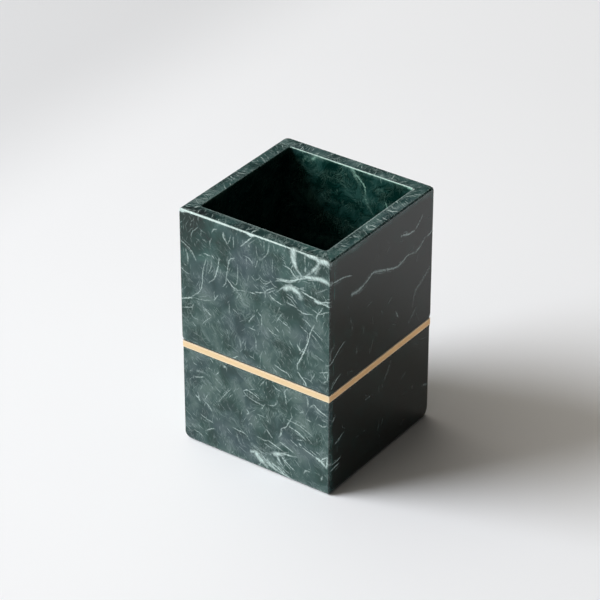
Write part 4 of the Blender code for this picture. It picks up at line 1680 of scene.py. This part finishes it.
@dataclass
class MarbleCup:
    """The eight walls of the cup, all of one marble.

    Attributes:
        figure: The stone's figure.
        marble: Its material.
        corners: For each tier its corners, first the one at the front's right end.
        easings: For each tier its arrises, in a slab's order.
        setback: How far each tier's outer faces lie inside the model's.
        seen_pitch: Longest step of the mesh on the sides that the camera sees.
        hidden_pitch: The same on the other sides.
        seen_inner_pitch: The same up the inner face that the camera sees.
        hidden_inner_pitch: The same up the other inner faces.
    """

    figure: StoneFigure
    marble: bpy.types.Material
    corners: dict[Tier, tuple[UprightCorner, ...]] = field(default_factory=lambda: {
        Tier.UPPER: (UprightCorner(),
                     UprightCorner(0.8 * MM, foot_radius=2.2 * MM, head_radius=2.2 * MM),
                     UprightCorner(0.7 * MM, foot_radius=1.1 * MM, head_radius=1.8 * MM),
                     UprightCorner(0.4 * MM, foot_radius=1.4 * MM, head_radius=1.2 * MM)),
        Tier.LOWER: (UprightCorner(),
                     UprightCorner(0.8 * MM, foot_radius=3.6 * MM, foot_reach=4.5 * MM),
                     UprightCorner(0.7 * MM, foot_radius=2.6 * MM, foot_reach=3.5 * MM),
                     UprightCorner(0.4 * MM, foot_radius=3.4 * MM, foot_reach=3.2 * MM))})
    easings: dict[Tier, tuple[Easing, ...]] = field(default_factory=lambda: {
        Tier.UPPER: (Easing(0.15 * MM), Easing(0.35 * MM, 0.6, 0.05 * MM),
                     Easing(0.55 * MM, 0.25, 0.05 * MM), Easing(0.22 * MM, 0.15, 0.04 * MM)),
        Tier.LOWER: (Easing(0.15 * MM), Easing(0.9 * MM, 0.7, 0.1 * MM),
                     Easing(0.18 * MM, 0.5, 0.06 * MM), Easing(0.15 * MM))})
    setback: dict[Tier, float] = field(default_factory=lambda: {Tier.UPPER: 0.0, Tier.LOWER: 0.2 * MM})
    seen_pitch: float = 0.27 * MM
    hidden_pitch: float = 0.4 * MM
    seen_inner_pitch: float = 0.35 * MM
    hidden_inner_pitch: float = 0.6 * MM

    def build(self) -> list[bpy.types.Object]:
        """Builds the walls of both tiers, side by side."""
        return [self.wall(tier, side) for side in Side for tier in Tier]

    def wall(self, tier: Tier, side: Side) -> bpy.types.Object:
        """Builds one wall and puts it in its node's place.

        The one inner face that the camera sees well is the upper back wall's.

        Args:
            tier: The tier it belongs to.
            side: The side that it stands on.

        Returns:
            The wall.
        """
        low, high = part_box(f"{tier.value}_wall_front")
        setback = self.setback[tier]
        shows_inside = side is Side.BACK and tier is Tier.UPPER
        slab = MitredSlab(
            side=side, half_side=-low.y - setback, thickness=high.y - low.y - setback,
            foot=low.z, head=high.z, easings=self.easings[tier],
            left=self.corners[tier][side.value - 1], right=self.corners[tier][side.value],
            pitch=self.seen_pitch if side in (Side.FRONT, Side.RIGHT) else self.hidden_pitch,
            inner_pitch=self.seen_inner_pitch if shows_inside else self.hidden_inner_pitch)
        wall = slab.build(f"marble_{tier.value}_{side.label}", self.figure)
        return dress(wall, self.marble, f"{tier.value}_wall_{side.label}")


@dataclass
class BrassBand:
    """The four brass strips between the tiers.

    Attributes:
        finish: The brushing of the front and back strips.
        side_finish: That of the side strips: more coarsely brushed, and redder, which paints the warmer look of
            the right strip in shade.
        setback: How far their faces lie inside the model's.
    """

    finish: BrushedBrass = BrushedBrass()
    # The side strips' redder colour is painted to give the right strip's warmer look in shade.
    side_finish: BrushedBrass = BrushedBrass("#FFD39E", "#FFE9C8", 0.52)
    setback: float = 0.15 * MM

    def build(self) -> list[bpy.types.Object]:
        """Builds the strips.

        Returns:
            The strips.
        """
        finishes = (self.finish.make(), self.side_finish.make())
        low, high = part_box("brass_strip_front")
        edge = Easing(0.07 * MM, 0.6)
        corner = UprightCorner(0.2 * MM, 0.2 * MM, head_radius=0.2 * MM)
        pieces = []
        for side in Side:
            strip = MitredSlab(
                side=side, half_side=-low.y - self.setback, thickness=high.y - low.y - self.setback,
                foot=low.z, head=high.z, easings=(edge, edge, edge, edge), left=corner, right=corner,
                inner_fillet=0.2 * MM, pitch=0.3 * MM, seam=0.04 * MM)
            pieces.append(dress(strip.build(f"brass_{side.label}"), finishes[side.value % 2],
                                f"brass_strip_{side.label}"))
        return pieces


@dataclass
class GlueJoints:
    """The epoxy in the joints: a film in each mitre, and a bed above and below the band.

    Attributes:
        cup: The walls that it holds together.
        finish: The epoxy.
        recess: How far it stands below the faces outside.
        film: Thickness of a film in a mitre.
        inset: How far a film stops short of a slab's foot and head.
    """

    cup: MarbleCup
    finish: TintedEpoxy = TintedEpoxy()
    recess: float = 0.12 * MM
    film: float = 0.10 * MM
    inset: float = 1.0 * MM

    def build(self) -> list[bpy.types.Object]:
        """Builds the films and the beds.

        Returns:
            The films and the beds.
        """
        epoxy = self.finish.make()
        pieces = [dress(self.mitre_film(tier, side), epoxy) for tier in Tier for side in Side]
        band_low, band_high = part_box("brass_strip_front")
        upper_low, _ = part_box("upper_wall_front")
        _, lower_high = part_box("lower_wall_front")
        beds = {"glue_bed_lower": (lower_high.z, band_low.z), "glue_bed_upper": (band_high.z, upper_low.z)}
        for name, (foot, head) in beds.items():
            bed = self.bed(name, -band_low.y, band_high.y - band_low.y, foot, head)
            pieces.append(dress(bed, epoxy))
        return pieces

    def mitre_film(self, tier: Tier, side: Side) -> bpy.types.Object:
        """Builds the film in the mitre at a side's right end.

        Its section is a long flat oval along the corner's diagonal. Its outer end keeps below the
        corner's rounding, and wavers a little with height.

        Args:
            tier: The tier.
            side: The side.

        Returns:
            The object.
        """
        low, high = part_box(f"{tier.value}_wall_front")
        half_side = -low.y - self.cup.setback[tier]
        turn = np.linspace(0, 2 * math.pi, 24, endpoint=False)[None]
        z = np.linspace(low.z + self.inset, high.z - self.inset, 90)[:, None]
        radius = self.cup.corners[tier][side.value].at(z - low.z, high.z - z)
        waver = 0.04 * MM * np.sin(z / (1.9 * MM)) * np.sin(z / (0.7 * MM) + 1.0)
        start, end = self.recess + waver + 0.3 * radius, high.y - low.y - 0.6 * MM
        depth = (start + end) / 2 - (end - start) / 2 * np.cos(turn)
        offset = self.film / 2 * np.sign(np.sin(turn)) * np.abs(np.sin(turn)) ** 0.4 / math.sqrt(2)
        rings = np.stack(np.broadcast_arrays(
            half_side - depth - offset, depth - half_side - offset, z), axis=-1)
        points, quads, ends = stacked_rings(rings)
        name = f"glue_{tier.value}_{side.label}"
        return show(name, mesh_from(name, side.turn(points), quads, ends))

    def bed(self, name: str, half_side: float, thickness: float, foot: float,
            head: float) -> bpy.types.Object:
        """Builds a bed of glue between a tier and the band, as four mitred strips in one mesh.

        Args:
            name: The object's name.
            half_side: From the axis to the outer faces.
            thickness: Of the walls.
            foot: Height of its underside.
            head: Height of its top.

        Returns:
            The object.
        """
        clear = 0.01 * MM
        edge = Easing(0.05 * MM)
        corner = UprightCorner(0.1 * MM, 0.1 * MM)
        points, quads, caps, first = [], [], [], 0
        for side in Side:
            strip = MitredSlab(
                side=side, half_side=half_side - 0.5 * MM, thickness=thickness - 0.8 * MM,
                foot=foot + clear, head=head - clear, easings=(edge, edge, edge, edge),
                left=corner, right=corner, inner_fillet=0.1 * MM, seam=0.0,
                pitch=1.0 * MM, inner_pitch=0.2 * MM)
            surface = strip.surface()
            count, width = surface["u"].shape
            side_quads, side_caps = strip.faces(count, width, int(surface["crest"]))
            points.append(side.turn(surface["points"].reshape(-1, 3)))
            quads.append(side_quads + first)
            caps.append(side_caps + first)
            first += count * width
        return show(name, mesh_from(name, np.vstack(points), np.vstack(quads), np.vstack(caps)))


@dataclass
class SquarePlate:
    """A flat square plate or pad, as rings from the middle of its underside to that of its top.

    Attributes:
        half_side: From its middle to a side.
        foot: Height of its underside.
        head: Height of its top.
        corner_radius: Of its corners, seen from above.
        ease: Rounding of its long arrises.
        nap: Height of the fibres that stand up from it.
        sheet_middle: U of its middle on the unrolled sheet, clear of the walls.
    """

    half_side: float
    foot: float
    head: float
    corner_radius: float
    ease: float = 0.3 * MM
    nap: float = 0.0
    sheet_middle: float = 300.0

    def build(self, name: str) -> bpy.types.Object:
        """Builds the plate.

        Each ring is the plate's outline scaled about its middle. The rings' reach grows evenly over
        the underside, goes round the eased edges, and shrinks again over the top. The nap is a
        product of two bent sines, in millimetres, and lies within the plate's thickness.

        Args:
            name: The object's name.

        Returns:
            The object.
        """
        across = np.linspace(0.01, 1, 44) * (self.half_side - self.ease)
        turn = np.linspace(0, math.pi / 2, 5)[1:]
        round_out = self.half_side - self.ease + self.ease * np.sin(turn)
        round_up = self.ease * (1 - np.cos(turn))
        reach = np.concatenate([across, round_out, round_out[::-1], across[::-1]])
        z = np.concatenate([np.full(len(across), self.foot), self.foot + round_up,
                            self.head - round_up[::-1], np.full(len(across), self.head)])
        outline = rounded_square(self.half_side, self.corner_radius, 46, 8)
        rings = np.empty((len(reach), len(outline), 3))
        rings[..., :2] = outline * (reach / self.half_side)[:, None, None]
        rings[..., 2] = z[:, None]
        if self.nap:
            x, y = rings[..., 0] / MM, rings[..., 1] / MM
            lift = np.sin(1.9 * x + 1.3 * np.sin(2.3 * y)) * np.sin(2.1 * y + 1.7 * np.sin(1.6 * x))
            inward = np.where(z > (self.foot + self.head) / 2, -1.0, 1.0)[:, None]
            rings[..., 2] += self.nap * (0.5 + 0.5 * lift) * inward
        points, quads, ends = stacked_rings(rings)
        corners = np.concatenate([quads.ravel(), ends.ravel()])
        sheet = points[corners, :2] / MM + np.array([self.sheet_middle, 0.0])
        return show(name, mesh_from(name, points, quads, ends, sheet))


@dataclass
class Base:
    """The marble floor of the cup and the felt pad under it.

    Attributes:
        marble: The material of the walls.
        felt: The pad's finish.
        nap: Height of the felt's fibres.
    """

    marble: bpy.types.Material
    felt: NeedleFelt = NeedleFelt()
    nap: float = 0.08 * MM

    def build(self) -> list[bpy.types.Object]:
        """Builds the floor slab and the pad in their nodes' places.

        Returns:
            The slab and the pad.
        """
        low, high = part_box("floor_slab")
        slab = SquarePlate(high.x, low.z, high.z, corner_radius=0.4 * MM).build("marble_floor_plate")
        low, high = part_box("felt_base_pad")
        pad = SquarePlate(high.x, low.z, high.z, corner_radius=3.0 * MM, nap=self.nap).build("felt_pad")
        return [dress(slab, self.marble, "floor_slab"),
                dress(pad, self.felt.make(), "felt_base_pad")]


@dataclass
class StudioSet:
    """Pale floor with painted shade towards the left and far off, soft key light from the front left, dim fill,
    and the camera.

    Attributes:
        target: The point that the camera looks at.
        azimuth: Degrees that the camera stands round from the front, towards the right side.
        elevation: Degrees above the horizon.
        distance: From the camera to the target.
        lens: Focal length for the sensor's width, both in millimetres.
        key_direction: From the object to the middle of the key light.
        key_distance: How far that is.
        key_size: Across the key light.
        key_power: Its power, in watts.
        mirrored_share: How bright the key and the fill mirror in things, as a share of their light.
        fill_direction: Where the fill comes from.
        fill_level: How bright the fill is there.
        dusk_level: How bright it is all round.
        fill_colour: Of both.
        backdrop_level: How bright the backdrop looks where it mirrors in the stone.
        backdrop_rise: Sine of the heights between which the backdrop fades out there.
        backdrop_colour: Of the backdrop there.
        wall_colour: Of the room where the camera looks past the floor.
        floor_colour: Of the floor's paint.
        left_fade: X from which, and to which, the floor is painted darker towards the left, as painted shade.
        left_loss: By how much it does.
        far_fade: Distances from the cup between which the floor is painted darker all round, as painted shade.
        far_loss: By how much it does.
        floor_rings: Radii of the floor's rings of points, in metres.
    """

    target: tuple[float, float, float] = (-3.51 * MM, 0.0, 57.77 * MM)
    azimuth: float = 35.49
    elevation: float = 31.49
    distance: float = 1126.2 * MM
    lens: float = 173.1
    key_direction: tuple[float, float, float] = (-0.667, -0.501, 0.552)
    key_distance: float = 4.0
    key_size: float = 2.65
    key_power: float = 208.0
    mirrored_share: float = 0.4
    fill_direction: tuple[float, float, float] = (-0.92, -0.30, 0.25)
    fill_level: float = 1.19
    dusk_level: float = 0.034
    fill_colour: str = "#FFF5E4"
    backdrop_level: float = 0.70
    backdrop_rise: Span = (0.02, 0.2)
    backdrop_colour: str = "#F3EFFF"
    wall_colour: str = "#F1F3F5"
    floor_colour: str = "#EEF2F9"
    left_fade: Span = (-190 * MM, -290 * MM)
    left_loss: float = 0.16
    far_fade: Span = (120 * MM, 330 * MM)
    far_loss: float = 0.045
    floor_rings: Span = (1.0, 12.0)

    def build(self) -> None:
        """Sets up the camera, the light and the floor."""
        self.camera()
        self.key()
        self.world()
        self.floor()
        bpy.context.scene.view_settings.view_transform = "Standard"

    @staticmethod
    def aim(name: str, data: Union[bpy.types.Camera, bpy.types.Light], place: Vector,
            direction: Vector) -> bpy.types.Object:
        """Places a camera or lamp so that it looks along a direction.

        Args:
            name: The object's name.
            data: The camera or lamp.
            place: Where it stands.
            direction: Where it looks.

        Returns:
            The object.
        """
        aimed = bpy.data.objects.new(name, data)
        aimed.location = place
        aimed.rotation_mode = "QUATERNION"
        aimed.rotation_quaternion = direction.to_track_quat("-Z", "Y")
        bpy.context.scene.collection.objects.link(aimed)
        return aimed

    def camera(self) -> None:
        """Places the camera on the line from the target, looking back along it."""
        turn, rise = math.radians(self.azimuth), math.radians(self.elevation)
        back = Vector((math.sin(turn) * math.cos(rise), -math.cos(turn) * math.cos(rise), math.sin(rise)))
        data = bpy.data.cameras.new("photo_camera")
        data.lens = self.lens
        data.sensor_width = 36.0
        data.clip_start = 0.01
        camera = self.aim("photo_camera", data, Vector(self.target) + back * self.distance, -back)
        bpy.context.scene.camera = camera

    def key(self) -> None:
        """Hangs the round soft key light, whose mirror image is dimmed so that it doesn't burn out."""
        direction = Vector(self.key_direction).normalized()
        for name, share, mirrors in (("key", 1.0, False), ("key_mirrored", self.mirrored_share, True)):
            data = bpy.data.lights.new(name, "AREA")
            data.shape = "DISK"
            data.size = self.key_size
            data.energy = self.key_power * share
            lamp = self.aim(name, data, direction * self.key_distance, -direction)
            lamp.visible_diffuse = not mirrors
            lamp.visible_glossy = mirrors

    def world(self) -> None:
        """Fills from the left and leaves the right dim, with a pale backdrop round the horizon.

        What mirroring surfaces see of the room is the pale backdrop low down, and less of the fill
        than lights the stone. The camera sees a plain pale room.
        """
        world = bpy.data.worlds.new("studio")
        bpy.context.scene.world = world
        world.use_nodes = True
        world.node_tree.nodes.clear()
        add = partial(add_node, world.node_tree)
        direction = add("TexCoord")["Generated"]
        fill = add("VectorMath", direction, self.fill_direction, operation="DOT_PRODUCT")["Value"]
        fill = add("Math", fill, 0.0, operation="MAXIMUM")[0]
        fill = add("Math", fill, self.fill_level, self.dusk_level, operation="MULTIPLY_ADD")[0]
        height = add("SeparateXYZ", direction)[2]
        backdrop = add("MapRange", height, *self.backdrop_rise, self.backdrop_level, 0.0,
                       interpolation_type="SMOOTHSTEP")[0]
        mirrored = add("Math", fill, self.mirrored_share, operation="MULTIPLY")[0]
        mirrored = add("Math", mirrored, backdrop, operation="MAXIMUM")[0]
        ray = add("LightPath")
        seen = ray["Is Camera Ray"]
        for kind in ("Is Glossy Ray", "Is Transmission Ray"):
            seen = add("Math", seen, ray[kind], operation="MAXIMUM")[0]
        level = add("Mix", {0: seen, 2: fill, 3: mirrored})[0]
        colour = add("Mix", {0: seen, 6: linear(self.fill_colour), 7: linear(self.backdrop_colour)},
                     data_type="RGBA")[2]
        light = add("Background", colour, level)[0]
        plain = add("Background", linear(self.wall_colour))[0]
        add("OutputWorld", add("MixShader", ray["Is Camera Ray"], light, plain)[0])

    def floor(self) -> None:
        """Lays the pale floor, a round sheet far wider than the view, as two rings and a middle.

        It is board painted matt, which shows no more than a dull sheen, and it is painted darker towards the
        left and far from the cup as painted shade.
        """
        material, add = new_material("matt_painted_board")
        place = add("TexCoord")["Object"]
        # Painted shade: the floor is darker towards the left and far from the cup.
        left = add("MapRange", add("SeparateXYZ", place)[0], *self.left_fade, 0.0, self.left_loss,
                   interpolation_type="SMOOTHSTEP")[0]
        far = add("VectorMath", place, operation="LENGTH")["Value"]
        far = add("MapRange", far, *self.far_fade, 1.0, 1.0 - self.far_loss)[0]
        shade = add("Math", far, left, operation="SUBTRACT")[0]
        colour = add("VectorMath", {0: linear(self.floor_colour)[:3], "Scale": shade}, operation="SCALE")[0]
        shader = add("BsdfPrincipled", {"Base Color": colour, "Roughness": 0.7,
                                        "Specular IOR Level": 0.2})[0]
        add("OutputMaterial", shader)
        step = np.arange(96)
        turn = 2 * np.pi * step / len(step)
        rings = np.array(self.floor_rings)[:, None]
        points = np.stack([rings * np.cos(turn), rings * np.sin(turn), 0 * rings * turn], axis=-1)
        points = np.vstack([points.reshape(-1, 3), np.zeros((1, 3))])
        after = (step + 1) % len(step)
        quads = np.stack([step, len(step) + step, len(step) + after, after], axis=-1)
        middle = np.stack([step, after, np.full(len(step), 2 * len(step))], axis=-1)
        floor = show("floor", mesh_from("floor", points, quads, middle))
        floor.data.materials.append(material)


def main() -> None:
    """Builds the set and the pen holder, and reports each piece."""
    logging.basicConfig(level=logging.INFO, format="%(name)s %(message)s")
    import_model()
    StudioSet().build()
    marble = PolishedMarble().make()
    cup = MarbleCup(StoneFigure(FIGURE_VEINS, HAIR_ZONES, BEDS), marble)
    for part in (cup, Base(marble), BrassBand(), GlueJoints(cup)):
        for piece in part.build():
            LOG.info("%s: %d faces", piece.name, len(piece.data.polygons))


if __name__ == "__main__":
    main()
